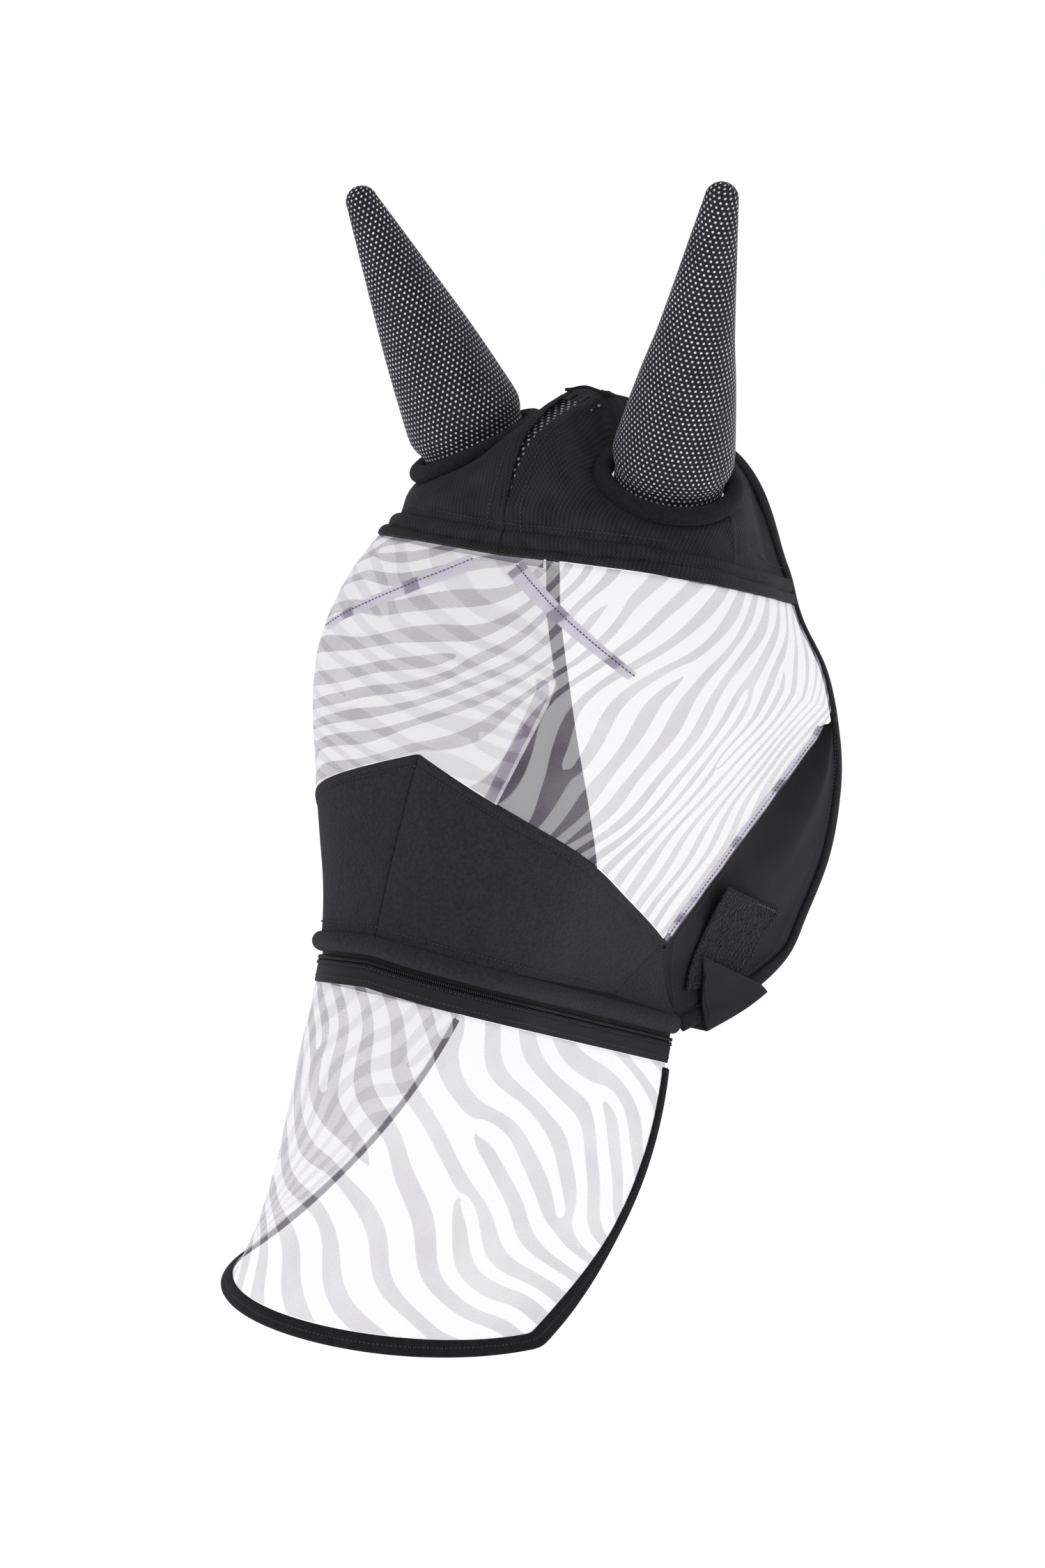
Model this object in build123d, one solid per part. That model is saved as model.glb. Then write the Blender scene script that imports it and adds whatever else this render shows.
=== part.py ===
from build123d import *
import os
from math import asin, cos, hypot, pi, radians, sin

# Horse fly mask with ear covers and a zip-off nose flap, sewn from separate cloth panels.
# Millimetres, +Z up. The horse faces -Y and its left side is +X.
# The origin is at the poll, the top of the horse's head between the ears, where the mask hangs.
# Shapes are laid out in the horse's own head frame, as (across, down, back):
# across to the horse's left, down along the face, back away from the face.
# The head frame leans forward by HEAD_TILT, because a horse carries its head with the nose out.

HEAD_TILT = 18

CLOTH = 1.2             # thickness of one cloth panel
GAP = 0.5               # room left in each seam between two panels
BINDING_WIDTH = 11      # rolled binding round the open rear edge
BINDING_THICK = 4
ROWS = 9                # rows of points that carry a panel
COLUMNS = 9             # points along a row, on one side of the head

# Sections across the head: down, front, half width, where it is widest, how square, and
# the half width and place of the open rear edge.
HEAD_SECTIONS = [
    (100, -79, 120, 10, 2.6, 100, 132),
    (128, -78, 142, 5, 3.0, 104, 150),
    (160, -92, 155, 0, 3.0, 115, 179),
    (205, -108, 158, -10, 3.0, 118, 209),
    (240, -119, 149, -20, 2.8, 116, 227),
    (288, -131, 128, -30, 2.6, 107, 245),
    (336, -136, 106, -40, 2.4, 93, 252),
    (369, -138, 94, -45, 2.2, 86, 247),
    (400, -139, 84, -55, 2.1, 92, 190),
    (430, -139, 78, -62, 2.0, 98, 103),
]

BROW_DOWN = 129         # lower edge of the crown, at the middle of the forehead
BROW_RISE = 9           # how much higher that edge is at the rear
BROW_HEM = 17           # height of the folded brow hem
HEM_THICK = 3
SLIT_HALF_WIDTH = 12    # half of the forelock opening, at the poll
CROWN_SPLIT = 0.62      # share of the way round where the crown's side seam is

NOSE_PEAK_DOWN = 270    # top of the fleece nose panel
NOSE_END_DOWN = 393     # lower edge of the nose panel, at the middle
HEM_DROP = 24           # how much lower the hem is at its rear ends
HEM_END_BACK = 103      # where the hem ends, back from the face line
HEM_LEVEL = 415         # section that the hem and zip keep below this height
NOSE_SEAM = (406, 20)   # lower end of the nose panel's side seam, as down and back
SEAM_TOP = (187, 201)   # cheek seam, upper end on the rear edge, as down and back
SEAM_FOOT = (366.5, 69.4)   # cheek seam, lower end at the nose panel
SEAM_TOP_SHARE = 0.3    # share of the face mesh's height that is above the cheek seam

HEM_ROLL = 6.5          # radius of the fleece roll along the hem
COIL = 1.3              # radius of one zip coil
ZIP_TAPE = 1.0
ZIP_MIDDLE = 19.5       # middle of the closed zip, below the nose panel
PULL_HEIGHT = 4.6       # turning line of the zip pull above the zip

EAR_BASE = {"left": (80, 59, -13), "right": (80, 52, -17)}
EAR_TIP = {"left": (150, -124, -119), "right": (150, -104, -115)}
EAR_RING = 45           # radius of the ring's middle line
EAR_ROLL = 6.5          # radius of the fleece roll round the ear
EAR_NET = 1.5           # thickness of the ear net
# outer radius of an ear cover at shares of its length
EAR_PROFILE = [(0, 37.5), (7, 37.5), (13, 40), (22, 42.5), (45, 41.5), (80, 35), (115, 27.5)]
EAR_TIP_RADIUS = 11

FLAP_TOP = 34           # upper edge of the flap's mesh, below the nose panel
FLAP_FOOT = (126, 636, -52)     # rear lower corner of the nose flap
FLAP_BULGE = (115, 558, 80)     # control point of the flap's rear edge
FLAP_DOWN = 656
FLAP_FRONT = -145
FLAP_RADIUS = 132
FLAP_SIDE_BINDING = 7
FLAP_FOOT_BINDING = 12

PAD = [(322, 112), (334, 206), (386, 188), (400, 112)]      # loop pad corners, down and back
TAB_TOP = (374, 119)    # free corner of the closure tab on the horse's left cheek
TAB_LIFT = 5            # the tab's outer face above the cheek panel
TAB_DROP = (0, 4.5, 3)  # how far the strap passes outside the cheeks' lower edges
TAB_TURN = 0.5          # share of the tab's length at which it turns round the left cheek


def between(a, b, share):
    """Point or number part of the way from a to b."""
    if isinstance(a, tuple):
        return tuple(between(p, q, share) for p, q in zip(a, b))
    return a + (b - a) * share


def add(a, b, scale=1.0):
    return tuple(p + scale * q for p, q in zip(a, b))


def ease(share):
    """0 to 1 with level ends."""
    share = min(max(share, 0), 1)
    return share * share * (3 - 2 * share)


def place(point):
    """Head frame to the part's own frame."""
    across, down, back = point
    lean = radians(HEAD_TILT)
    return Vector(across, back * cos(lean) - down * sin(lean), -down * cos(lean) - back * sin(lean))


def smooth(where, stations):
    """Value at where on a smooth curve through (where, value) stations."""
    last = len(stations) - 1
    i = max([k for k in range(last) if stations[k][0] <= where], default=0)

    def slope(k):
        low, high = max(k - 1, 0), min(k + 1, last)
        return (stations[high][1] - stations[low][1]) / (stations[high][0] - stations[low][0])

    step = stations[i + 1][0] - stations[i][0]
    f = (where - stations[i][0]) / step
    start, end = stations[i][1], stations[i + 1][1]
    bend = (f ** 3 - 2 * f ** 2 + f) * slope(i) + (f ** 3 - f ** 2) * slope(i + 1)
    return between(start, end, 3 * f ** 2 - 2 * f ** 3) + step * bend


OUTLINE_STEPS = 40
known_outlines = {}


def outline(down):
    """Half section of the mask at one height: a squared front, then a side to the rear edge."""
    key = round(down, 2)
    if key in known_outlines:
        return known_outlines[key]
    columns = [[(row[0], row[k]) for row in HEAD_SECTIONS] for k in range(1, 7)]
    front, half, widest, square, rear_half, rear = [smooth(down, column) for column in columns]
    points = []
    for i in range(OUTLINE_STEPS + 1):
        turn = i / OUTLINE_STEPS * pi / 2
        points.append((half * sin(turn) ** (2 / square),
                       widest - (widest - front) * cos(turn) ** (2 / square)))
    for i in range(1, OUTLINE_STEPS + 1):
        f = i / OUTLINE_STEPS
        points.append((half + (rear_half - half) * (1.5 * f * f - 0.5 * f ** 3),
                       between(widest, rear, f)))
    runs = [0]
    for a, b in zip(points, points[1:]):
        runs.append(runs[-1] + hypot(b[0] - a[0], b[1] - a[1]))
    known_outlines[key] = points, runs
    return points, runs


def on_head(down, share):
    """Point on the head at a share of the way round from the face line to the rear edge."""
    points, runs = outline(down)
    run = min(max(share, 0), 1) * runs[-1]
    i = max(k for k in range(len(runs) - 1) if runs[k] <= run)
    f = (run - runs[i]) / (runs[i + 1] - runs[i])
    across, back = between(points[i], points[i + 1], f)
    return (across, down, back)


def share_at(down, back):
    """Share of the way round at which the head reaches a given place back."""
    low, high = 0.0, 1.0
    for _ in range(30):
        middle = (low + high) / 2
        if on_head(down, middle)[2] < back:
            low = middle
        else:
            high = middle
    return low


def inset_share(down, inset):
    """Share that stops short of the rear edge by inset, measured square to that edge."""
    step = 2
    slope = (outline(down + step)[0][-1][1] - outline(down - step)[0][-1][1]) / (2 * step)
    return 1 - inset * hypot(1, slope) / outline(down)[1][-1]


def mirrored(point):
    return (-point[0], point[1], point[2])


def both_sides(half_surface):
    """Whole surface from its left half; u runs from 0 on the right to 1 on the left."""
    def surface(u, v):
        side = 2 * u - 1
        point = half_surface(abs(side), v)
        return point if side >= 0 else mirrored(point)
    return surface


# ---- solids from surfaces

def cross(a, b):
    return (a[1] * b[2] - a[2] * b[1], a[2] * b[0] - a[0] * b[2], a[0] * b[1] - a[1] * b[0])


def unit(a):
    length = hypot(*a)
    return tuple(k / length for k in a)


def outward(surface, u, v):
    """Unit normal that points away from the middle of the head."""
    step = 0.01
    along = add(surface(min(u + step, 1), v), surface(max(u - step, 0), v), -1)
    across = add(surface(u, min(v + step, 1)), surface(u, max(v - step, 0)), -1)
    normal = unit(cross(along, across))
    here = surface(u, v)
    middle = (0, max(here[1], 150), 40)
    away = sum(n * (p - m) for n, p, m in zip(normal, here, middle))
    return normal if away > 0 else tuple(-n for n in normal)


def ruled(first, second):
    return Face.make_surface_from_curves(first, second)


def panel(surface, thick=CLOTH, lift=0.0, rows=ROWS, columns=COLUMNS):
    """Closed thin solid on surface(u, v): its outer face is lifted above the surface."""
    layers = []
    for height in (lift, lift - thick):
        layer = []
        for j in range(rows):
            row = []
            for i in range(columns):
                u, v = i / (columns - 1), j / (rows - 1)
                row.append(place(add(surface(u, v), outward(surface, u, v), height)))
            layer.append(row)
        layers.append(layer)
    outer, inner = layers
    curves = [[Edge.make_spline(row) for row in layer] for layer in layers]
    faces = [ruled(curves[0][0], curves[1][0]), ruled(curves[0][-1], curves[1][-1])]
    for j in range(rows - 1):
        for layer in curves:
            faces.append(ruled(layer[j], layer[j + 1]))
        for end in (0, -1):
            top = Edge.make_line(outer[j][end], outer[j + 1][end])
            bottom = Edge.make_line(inner[j][end], inner[j + 1][end])
            faces.append(ruled(top, bottom))
    return Solid(Shell(faces))


def band(stations):
    """Long soft roll through (point, normal, half width, half thickness) stations."""
    sections = []
    count = len(stations)
    for i, (point, normal, half_width, half_thick) in enumerate(stations):
        ahead, behind = stations[min(i + 1, count - 1)], stations[max(i - 1, 0)]
        tangent = place(ahead[0]) - place(behind[0])
        rise = place(normal) - place((0, 0, 0))
        across = tangent.cross(rise)
        plane = Plane(origin=place(point), x_dir=across, z_dir=tangent)
        sections.append(Edge.make_ellipse(half_width, half_thick, plane=plane))
    faces = [ruled(first, second) for first, second in zip(sections, sections[1:])]
    ends = [Face(Wire([sections[k]])) for k in (0, -1)]
    return Solid(Shell(faces + ends))


# ---- the cloth surfaces, each for the horse's left side

def brow_line(share):
    return BROW_DOWN - BROW_RISE * share


def hem_surface(share, v):
    """Brow hem, from its upper edge to its lower edge."""
    down = brow_line(share) - BROW_HEM * (1 - v)
    return on_head(down, share * inset_share(down, BINDING_WIDTH + 4 * GAP))


def crown_foot(share):
    down = brow_line(share) - BROW_HEM - GAP
    return on_head(down, share * inset_share(down, BINDING_WIDTH + 4 * GAP))


def crown_ridge(rise):
    """Front edge of one crown half: the centre seam, then the edge of the forelock opening."""
    foot = crown_foot(0)
    stations = [(0, foot), (0.2, (0.3, 93, -82)), (0.55, (4, 45, -68)), (1, (SLIT_HALF_WIDTH, 2, -10))]
    return tuple(smooth(rise, [(s, p[k]) for s, p in stations]) for k in range(3))


def crown_nape(rise):
    """Rear edge of the crown, from the brow hem up past the ear to the poll."""
    foot = crown_foot(1)
    stations = [(0, foot), (0.6, (84, 31, 54)), (1, (13, 3, 10))]
    return tuple(smooth(rise, [(s, p[k]) for s, p in stations]) for k in range(3))


def crown(share, rise):
    """Crown half stretched between its four edges."""
    low, high = crown_foot(share), between(crown_ridge(1), crown_nape(1), share)
    front, rear = crown_ridge(rise), crown_nape(rise)
    plain = between(between(crown_ridge(0), crown_nape(0), share),
                    between(crown_ridge(1), crown_nape(1), share), rise)
    point = add(between(low, high, rise), between(front, rear, share))
    return add(point, plain, -1)


def seam_point(fall, offset=0.0):
    """Straight seam between the face mesh and the cheek panel."""
    top = on_head(SEAM_TOP[0], share_at(*SEAM_TOP))
    foot = on_head(SEAM_FOOT[0], share_at(*SEAM_FOOT))
    along = between(top, foot, fall)
    return (along[0], along[1], along[2] + offset)


def mesh_rear(fall):
    """Rear edge of the face mesh: the open edge first, then the cheek seam."""
    if fall < SEAM_TOP_SHARE:
        down = between(brow_line(1) + GAP, SEAM_TOP[0], fall / SEAM_TOP_SHARE)
        return on_head(down, inset_share(down, BINDING_WIDTH + 4 * GAP))
    run = (fall - SEAM_TOP_SHARE) / (1 - SEAM_TOP_SHARE)
    edge = on_head(SEAM_TOP[0], inset_share(SEAM_TOP[0], BINDING_WIDTH + 4 * GAP))
    start = seam_point(0, -GAP)
    step = add(edge, start, -1)
    return add(seam_point(run, -GAP), step, max(1 - run * 8, 0))


def face_mesh(share, fall):
    front_down = between(BROW_DOWN + GAP, NOSE_PEAK_DOWN - GAP, fall)
    rear = mesh_rear(fall)
    down = between(front_down, rear[1], share)
    rear_share = share_at(rear[1], rear[2])
    point = on_head(down, share * rear_share)
    shift = add(rear, on_head(rear[1], rear_share), -1)
    return add(point, shift, ease((share - 0.5) / 0.5))


def nose_rear(fall, offset=0.0):
    down = between(SEAM_FOOT[0] + 2 * GAP, NOSE_SEAM[0], fall)
    back = between(SEAM_FOOT[1], NOSE_SEAM[1], fall)
    return down, share_at(down, back + offset)


def nose(share, fall):
    down_rear, share_rear = nose_rear(fall)
    down = between(between(NOSE_PEAK_DOWN + GAP, NOSE_END_DOWN, fall), down_rear, share)
    return on_head(down, between(0.001, share_rear, share))


def gusset(share, fall):
    """Fleece wedge behind the nose panel, down to the rear end of the hem."""
    drop = between(0.12, 0.97, fall)
    down_front, share_front = nose_rear(drop, GAP)
    down_rear = between(SEAM_FOOT[0] + 4, NOSE_END_DOWN + HEM_DROP, drop)
    share_rear = share_at(down_rear, between(SEAM_FOOT[1], HEM_END_BACK - 2, drop))
    return on_head(between(down_front, down_rear, share), between(share_front, share_rear, share))


def hem(share, below):
    """Line round the nose, a given distance below the nose panel's lower edge."""
    down = NOSE_END_DOWN + HEM_DROP * share + below
    level = min(down, HEM_LEVEL)
    across, _, back = on_head(level, share * share_at(level, HEM_END_BACK))
    return (across, down, back)


def cheek_front(fall):
    """Front edge of the cheek panel: the seam first, then the rear of the fleece wedge."""
    turn = 0.72
    if fall < turn:
        return seam_point(fall / turn, 2 * GAP)
    run = (fall - turn) / (1 - turn)
    down = between(SEAM_FOOT[0], NOSE_END_DOWN + HEM_DROP, run)
    back = between(SEAM_FOOT[1] + 2 * GAP, HEM_END_BACK, run)
    along = on_head(down, share_at(down, back + 4 * GAP * run))
    start = on_head(SEAM_FOOT[0], share_at(SEAM_FOOT[0], SEAM_FOOT[1] + 2 * GAP))
    return add(along, add(seam_point(1, 2 * GAP), start, -1), 1 - run)


def cheek(share, fall):
    drop = between(0.07, 0.95, fall)
    front = cheek_front(drop)
    rear_down = between(SEAM_TOP[0] + 2, NOSE_END_DOWN + HEM_DROP + 4, drop)
    rear_share = inset_share(rear_down, BINDING_WIDTH + GAP)
    front_share = share_at(front[1], front[2])
    point = on_head(between(front[1], rear_down, share), between(front_share, rear_share, share))
    shift = add(front, on_head(front[1], front_share), -1)
    return add(point, shift, 1 - ease(share / 0.6))


def flap_edge(fall):
    """Rear edge of the nose flap, bowed out between the zip and the lower corner."""
    top = hem(1, FLAP_TOP)
    first, second = between(top, FLAP_BULGE, fall), between(FLAP_BULGE, FLAP_FOOT, fall)
    return between(first, second, fall)


def flap_foot(share):
    """Lower edge of the nose flap, an arc round the mouth."""
    widest = asin(FLAP_FOOT[0] / FLAP_RADIUS)
    turn = share * widest
    return (FLAP_RADIUS * sin(turn), between(FLAP_DOWN, FLAP_FOOT[1], share ** 2),
            FLAP_FRONT + FLAP_RADIUS * (1 - cos(turn)))


def flap(share, fall):
    plain = between(hem(share, FLAP_TOP), flap_foot(share), fall)
    bow = add(flap_edge(fall), between(hem(1, FLAP_TOP), flap_foot(1), fall), -1)
    return add(plain, bow, share ** 3)


def part_of(surface, u=(0, 1), v=(0, 1)):
    """Piece of a surface between two shares each way."""
    return lambda a, b: surface(between(*u, a), between(*v, b))


# ---- the pieces

def crown_pieces():
    """Knit crown half: a front panel and a side panel, each cut round the ear."""
    pieces = {}
    front = panel(part_of(crown, u=(0.004, CROWN_SPLIT - 0.002), v=(0, 0.995)), rows=12)
    side = panel(part_of(crown, u=(CROWN_SPLIT + 0.002, 1), v=(0, 0.995)), rows=12)
    pieces["crown_front"] = front
    pieces["crown_side"] = side
    pieces["brow_hem"] = panel(part_of(hem_surface, u=(0.002, 1)), thick=HEM_THICK, lift=1, rows=3)
    return pieces


def ear_frame(side):
    """Base, unit axis and length of an ear cover on the left; the right one is mirrored later."""
    base, tip = place(EAR_BASE[side]), place(EAR_TIP[side])
    return base, (tip - base).normalized(), (tip - base).length


def ear_hole(side):
    base, axis, _ = ear_frame(side)
    reach = 60
    radius = EAR_RING + EAR_ROLL + GAP
    return Solid.make_cylinder(radius, 2 * reach, Plane(origin=base - axis * reach, z_dir=axis))


def ear_ring(side):
    base, axis, _ = ear_frame(side)
    return Solid.make_torus(EAR_RING, EAR_ROLL, Plane(origin=base, z_dir=axis))


def ear_cover(side):
    """Hollow net cone, open at its base, that swings a little inside its ring."""
    base, axis, length = ear_frame(side)
    tip_centre = length - EAR_TIP_RADIUS
    outer = [(radius, height) for height, radius in EAR_PROFILE] + [(EAR_TIP_RADIUS, tip_centre)]
    inner = [(radius - EAR_NET, height) for radius, height in outer]
    dome = EAR_TIP_RADIUS - EAR_NET
    edges = [
        Spline(*outer),
        RadiusArc(outer[-1], (0, length), -EAR_TIP_RADIUS),
        Line((0, length), (0, tip_centre + dome)),
        RadiusArc((0, tip_centre + dome), inner[-1], dome),
        Spline(*reversed(inner)),
        Line(inner[0], outer[0]),
    ]
    profile = Plane.XZ * make_face(edges)
    cone = revolve(profile, Axis.Z)
    return Plane(origin=base, z_dir=axis) * cone


def hem_stations(below, radius, lift, steps=32, reach=1.0):
    stations = []
    surface = both_sides(lambda share, v: hem(share * reach, below + v))
    for i in range(steps + 1):
        u = i / steps
        normal = outward(surface, u, 0)
        stations.append((add(surface(u, 0), normal, lift), normal, radius, radius))
    return stations


def zip_surface(top, bottom):
    return both_sides(lambda share, v: hem(share, between(top, bottom, v)))


def nose_pieces():
    """Fleece hem roll and the two halves of the zip, round the whole nose."""
    roll_below = GAP + HEM_ROLL
    tape_top = roll_below + HEM_ROLL + GAP
    tape_end = tape_top + 2.5
    upper_coil = tape_end + 0.2 + COIL
    lower_coil = upper_coil + 2 * COIL + 0.4
    lower_tape = lower_coil + COIL + 0.4
    around = 2 * COLUMNS + 3
    return {
        "nose_hem_roll": band(hem_stations(roll_below, HEM_ROLL, 0)),
        "zip_tape_upper": panel(zip_surface(tape_top, tape_end), ZIP_TAPE, 0.5, 2, around),
        "zip_coil_upper": band(hem_stations(upper_coil, COIL, 0)),
        "zip_coil_lower": band(hem_stations(lower_coil, COIL, 0)),
        "zip_tape_lower": panel(zip_surface(lower_tape, FLAP_TOP - GAP), ZIP_TAPE, 0.5, 3, around),
    }


def rear_edge_stations(start, end, steps):
    """Binding along the rear edge of the face mesh and cheek, between two heights."""
    stations = []
    for i in range(steps + 1):
        down = between(start, end, i / steps)
        share = inset_share(down, BINDING_WIDTH / 2)
        normal = outward(lambda u, v: on_head(100 + 330 * v, u), share, (down - 100) / 330)
        stations.append((on_head(down, share), normal, BINDING_WIDTH / 2, BINDING_THICK / 2))
    return stations


def poll_binding():
    """Binding from one cheek seam, up the rear of the crown, over the poll to the other."""
    rise = rear_edge_stations(SEAM_TOP[0] - 1, brow_line(1) - BROW_HEM - 4, 5)
    clear = BINDING_WIDTH / 2 + 4 * GAP
    steps = 7
    for i in range(1, steps + 1):
        up = i / steps
        normal = outward(crown, 1, up)
        edge, inside = crown(1, up), crown(0.97, up)
        away = unit(add(edge, inside, -1))
        rise.append((add(edge, away, clear), normal, BINDING_WIDTH / 2, BINDING_THICK / 2))
    across = [(mirrored(p), mirrored(n), w, t) for p, n, w, t in reversed(rise)]
    return band(rise + across)


def poll_band():
    """Short bridge over the poll that joins the two crown halves."""
    half = SLIT_HALF_WIDTH - 2 * GAP
    return panel(lambda u, v: (between(-half, half, u), 2 - 1.5 * sin(pi * u), between(-10, 9, v)),
                 thick=2, rows=3, columns=5)


def poll_net():
    """Net behind the forelock opening."""
    def surface(u, v):
        rise = between(0.12, 0.93, v)
        edge = crown_ridge(rise)
        inward = outward(crown, 0.02, rise)
        half = edge[0] + 8
        return add((between(-half, half, u), edge[1], edge[2]), (0, inward[1], inward[2]), -4.5)
    return panel(surface, thick=CLOTH, columns=5)


def mesh_seam():
    """Raw seam allowance that lies on the face mesh along the cheek seam."""
    def surface(u, v):
        fall = between(SEAM_TOP_SHARE + 0.05, 0.985, v)
        return face_mesh(between(0.965, 0.995, u), fall)
    return panel(surface, thick=1, lift=1.4, columns=3)


def eye_dart():
    """Folded and stitched dart that lifts the mesh off the eye."""
    def surface(u, v):
        width = between(9, 4, v)
        down = between(BROW_DOWN + 8, 196, v) + between(-width, width, u) / 2
        share = between(0.05, 0.3, v) - between(-width, width, u) / 800
        return on_head(down, share)
    return panel(surface, thick=1.4, lift=2.2, columns=3, rows=7)


def cheek_binding():
    return band(rear_edge_stations(SEAM_TOP[0], NOSE_END_DOWN + HEM_DROP + 6, 16))


def pad_point(u, v):
    """Point on the loop pad, as down and back between its corners."""
    top, foot = between(PAD[0], PAD[1], u), between(PAD[3], PAD[2], u)
    return between(top, foot, v)


def loop_pad():
    """Fuzzy half of the touch fastener, sewn to the left cheek panel."""
    def surface(u, v):
        down, back = pad_point(u, v)
        return on_head(down, share_at(down, back))
    return panel(surface, thick=1.4, lift=1.9, rows=5, columns=5)


def tab_edge(run):
    """Line along the slanted lower edge of a cheek, where the jaw strap turns round it."""
    down = between(390, 424, run)
    across, _, back = on_head(down, 1)
    return (across, down, back)


def jaw_strap(across, along):
    """Closure tab: from the right cheek under the jaw to a pointed leaf on the left cheek."""
    edge = tab_edge(between(0.0, 0.92, across))
    right, left = add(mirrored(edge), TAB_DROP), add(edge, TAB_DROP)
    if along < TAB_TURN:
        return between(add(right, (2, 0, 0)), add(left, (TAB_LIFT, 0, 0)), along / TAB_TURN)
    run = (along - TAB_TURN) / (1 - TAB_TURN)
    tip = between(TAB_TOP, (388, 128), across)
    _, down, back = between(edge, on_head(tip[0], share_at(*tip)), run)
    near = on_head(down, share_at(down, back))
    corner = between(add(left, (TAB_LIFT, 0, 0)), add(near, (TAB_LIFT, 0, 0)), min(run * 9, 1))
    return corner


def closure_tab():
    return panel(jaw_strap, thick=CLOTH, rows=25, columns=3)


def hook_pad():
    """Hooked half of the touch fastener, inside the leaf of the closure tab."""
    leaf = part_of(jaw_strap, u=(0.1, 0.9), v=(0.8, 0.96))
    return panel(leaf, thick=0.9, lift=-CLOTH - 0.3, rows=4, columns=3)


def flap_binding():
    """Binding round the three free edges of the nose flap."""
    stations = []
    side, foot = FLAP_SIDE_BINDING / 2, FLAP_FOOT_BINDING / 2
    side_steps, foot_steps = 9, 22
    surface = both_sides(flap)
    for i in range(side_steps):
        fall = between(0.02, 1, i / side_steps)
        stations.append((surface(1, fall), outward(surface, 0.995, fall), side, 1.8))
    for i in range(foot_steps + 1):
        u = 1 - i / foot_steps
        width = between(foot, side + 1, abs(2 * u - 1) ** 6)
        stations.append((surface(u, 1), outward(surface, min(max(u, 0.005), 0.995), 1), width, 1.8))
    for i in range(side_steps - 1, -1, -1):
        fall = between(0.02, 1, i / side_steps)
        stations.append((surface(0, fall), outward(surface, 0.005, fall), side, 1.8))
    return band(stations)


def nose_flap():
    inset = 0.952
    foot = 1 - 1.5 * FLAP_FOOT_BINDING / 2 / (FLAP_DOWN - NOSE_END_DOWN - FLAP_TOP)
    surface = both_sides(lambda share, fall: flap(share * inset, between(0.004, foot, fall)))
    return panel(surface, rows=12, columns=2 * COLUMNS + 3)


def slider_plane():
    """Frame on the zip at the slider's parked place: x along the zip, y across, z outwards."""
    surface = zip_surface(ZIP_MIDDLE - 3, ZIP_MIDDLE + 3)
    here, ahead = mirrored(hem(0.965, ZIP_MIDDLE)), mirrored(hem(0.80, ZIP_MIDDLE))
    rise = place(outward(surface, 0.02, 0.5)) - place((0, 0, 0))
    along = place(ahead) - place(here)
    square = rise - along * (rise.dot(along) / along.dot(along))
    return Plane(origin=place(here), x_dir=along, z_dir=square)


def zip_slider():
    """Slider on the outside of the teeth, with a raised saddle that holds the pull."""
    plate = fillet((Pos(0, 0, 3.2) * Box(11, 9, 1.2)).edges().filter_by(Axis.Z), 2.5)
    flange = Pos(0, 4.0, 2.0) * Box(7, 0.8, 1.4)
    saddle = Pos(0, 0, 6.0) * Box(8.4, 3, 1.2)
    for x in (-3.6, 3.6):
        saddle += Pos(x, 0, 4.6) * Box(1.2, 3, 1.8)
    return slider_plane() * (plate + flange + saddle)


def zip_pull():
    """Flat pull whose cross bar turns under the saddle."""
    pull = fillet((Pos(16, 0, PULL_HEIGHT) * Box(17, 6.6, 0.9)).edges().filter_by(Axis.Z), 2)
    pull += Pos(0, 0, PULL_HEIGHT) * Box(0.9, 5.7, 0.9)
    for y in (-2.4, 2.4):
        pull += Pos(4, y, PULL_HEIGHT) * Box(8.9, 0.9, 0.9)
    return slider_plane() * pull


def write(name, solid):
    solid.label = name
    export_step(solid, f"parts/{name}.step")


def on_both_sides(name, solid):
    return {name + "_left": solid, name + "_right": solid.mirror(Plane.YZ)}


def all_parts():
    parts = {}
    for name, solid in crown_pieces().items():
        parts.update(on_both_sides(name, solid))
    for side in ("left", "right"):
        hole, ring, cover = ear_hole(side), ear_ring(side), ear_cover(side)
        if side == "right":
            hole, ring, cover = [piece.mirror(Plane.YZ) for piece in (hole, ring, cover)]
        for name in ("crown_front", "crown_side"):
            parts[f"{name}_{side}"] = parts[f"{name}_{side}"] - hole
        parts[f"ear_ring_{side}"] = ring
        parts[f"ear_cover_{side}"] = cover
    parts["poll_band"] = poll_band()
    parts["poll_net"] = poll_net()
    parts["edge_binding_poll"] = poll_binding()
    parts["face_mesh"] = panel(both_sides(face_mesh), rows=12, columns=2 * COLUMNS + 3)
    parts.update(on_both_sides("eye_dart", eye_dart()))
    parts.update(on_both_sides("mesh_seam", mesh_seam()))
    parts.update(on_both_sides("nose_panel", panel(nose)))
    parts.update(on_both_sides("nose_gusset", panel(gusset, rows=6, columns=5)))
    parts.update(on_both_sides("cheek_panel", panel(part_of(cheek, v=(1, 0)), rows=12)))
    parts.update(on_both_sides("cheek_binding", cheek_binding()))
    parts["loop_pad"] = loop_pad()
    parts["closure_tab"] = closure_tab()
    parts["hook_pad"] = hook_pad()
    parts.update(nose_pieces())
    parts["nose_flap"] = nose_flap()
    parts["flap_binding"] = flap_binding()
    parts["zip_slider"] = zip_slider()
    parts["zip_pull"] = zip_pull()
    return parts


os.makedirs("parts", exist_ok=True)
for part_name, part_solid in all_parts().items():
    write(part_name, part_solid)
    print(part_name, "volume", round(part_solid.volume), "mm3")
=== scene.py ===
# %% [markdown]
# # A horse fly mask, sewn from sheer mesh, knit and fleece
# The mask hangs from the poll, the top of a horse's head between its ears. Striped sheer mesh
# covers the eyes, a black knit crown holds the ears, fleece pads the nose, and a second piece of
# mesh zips on below the nose. The working model gives every size and every joint, so this lesson
# only builds what the eye sees on top of it, in metres and in the same place.

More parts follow.
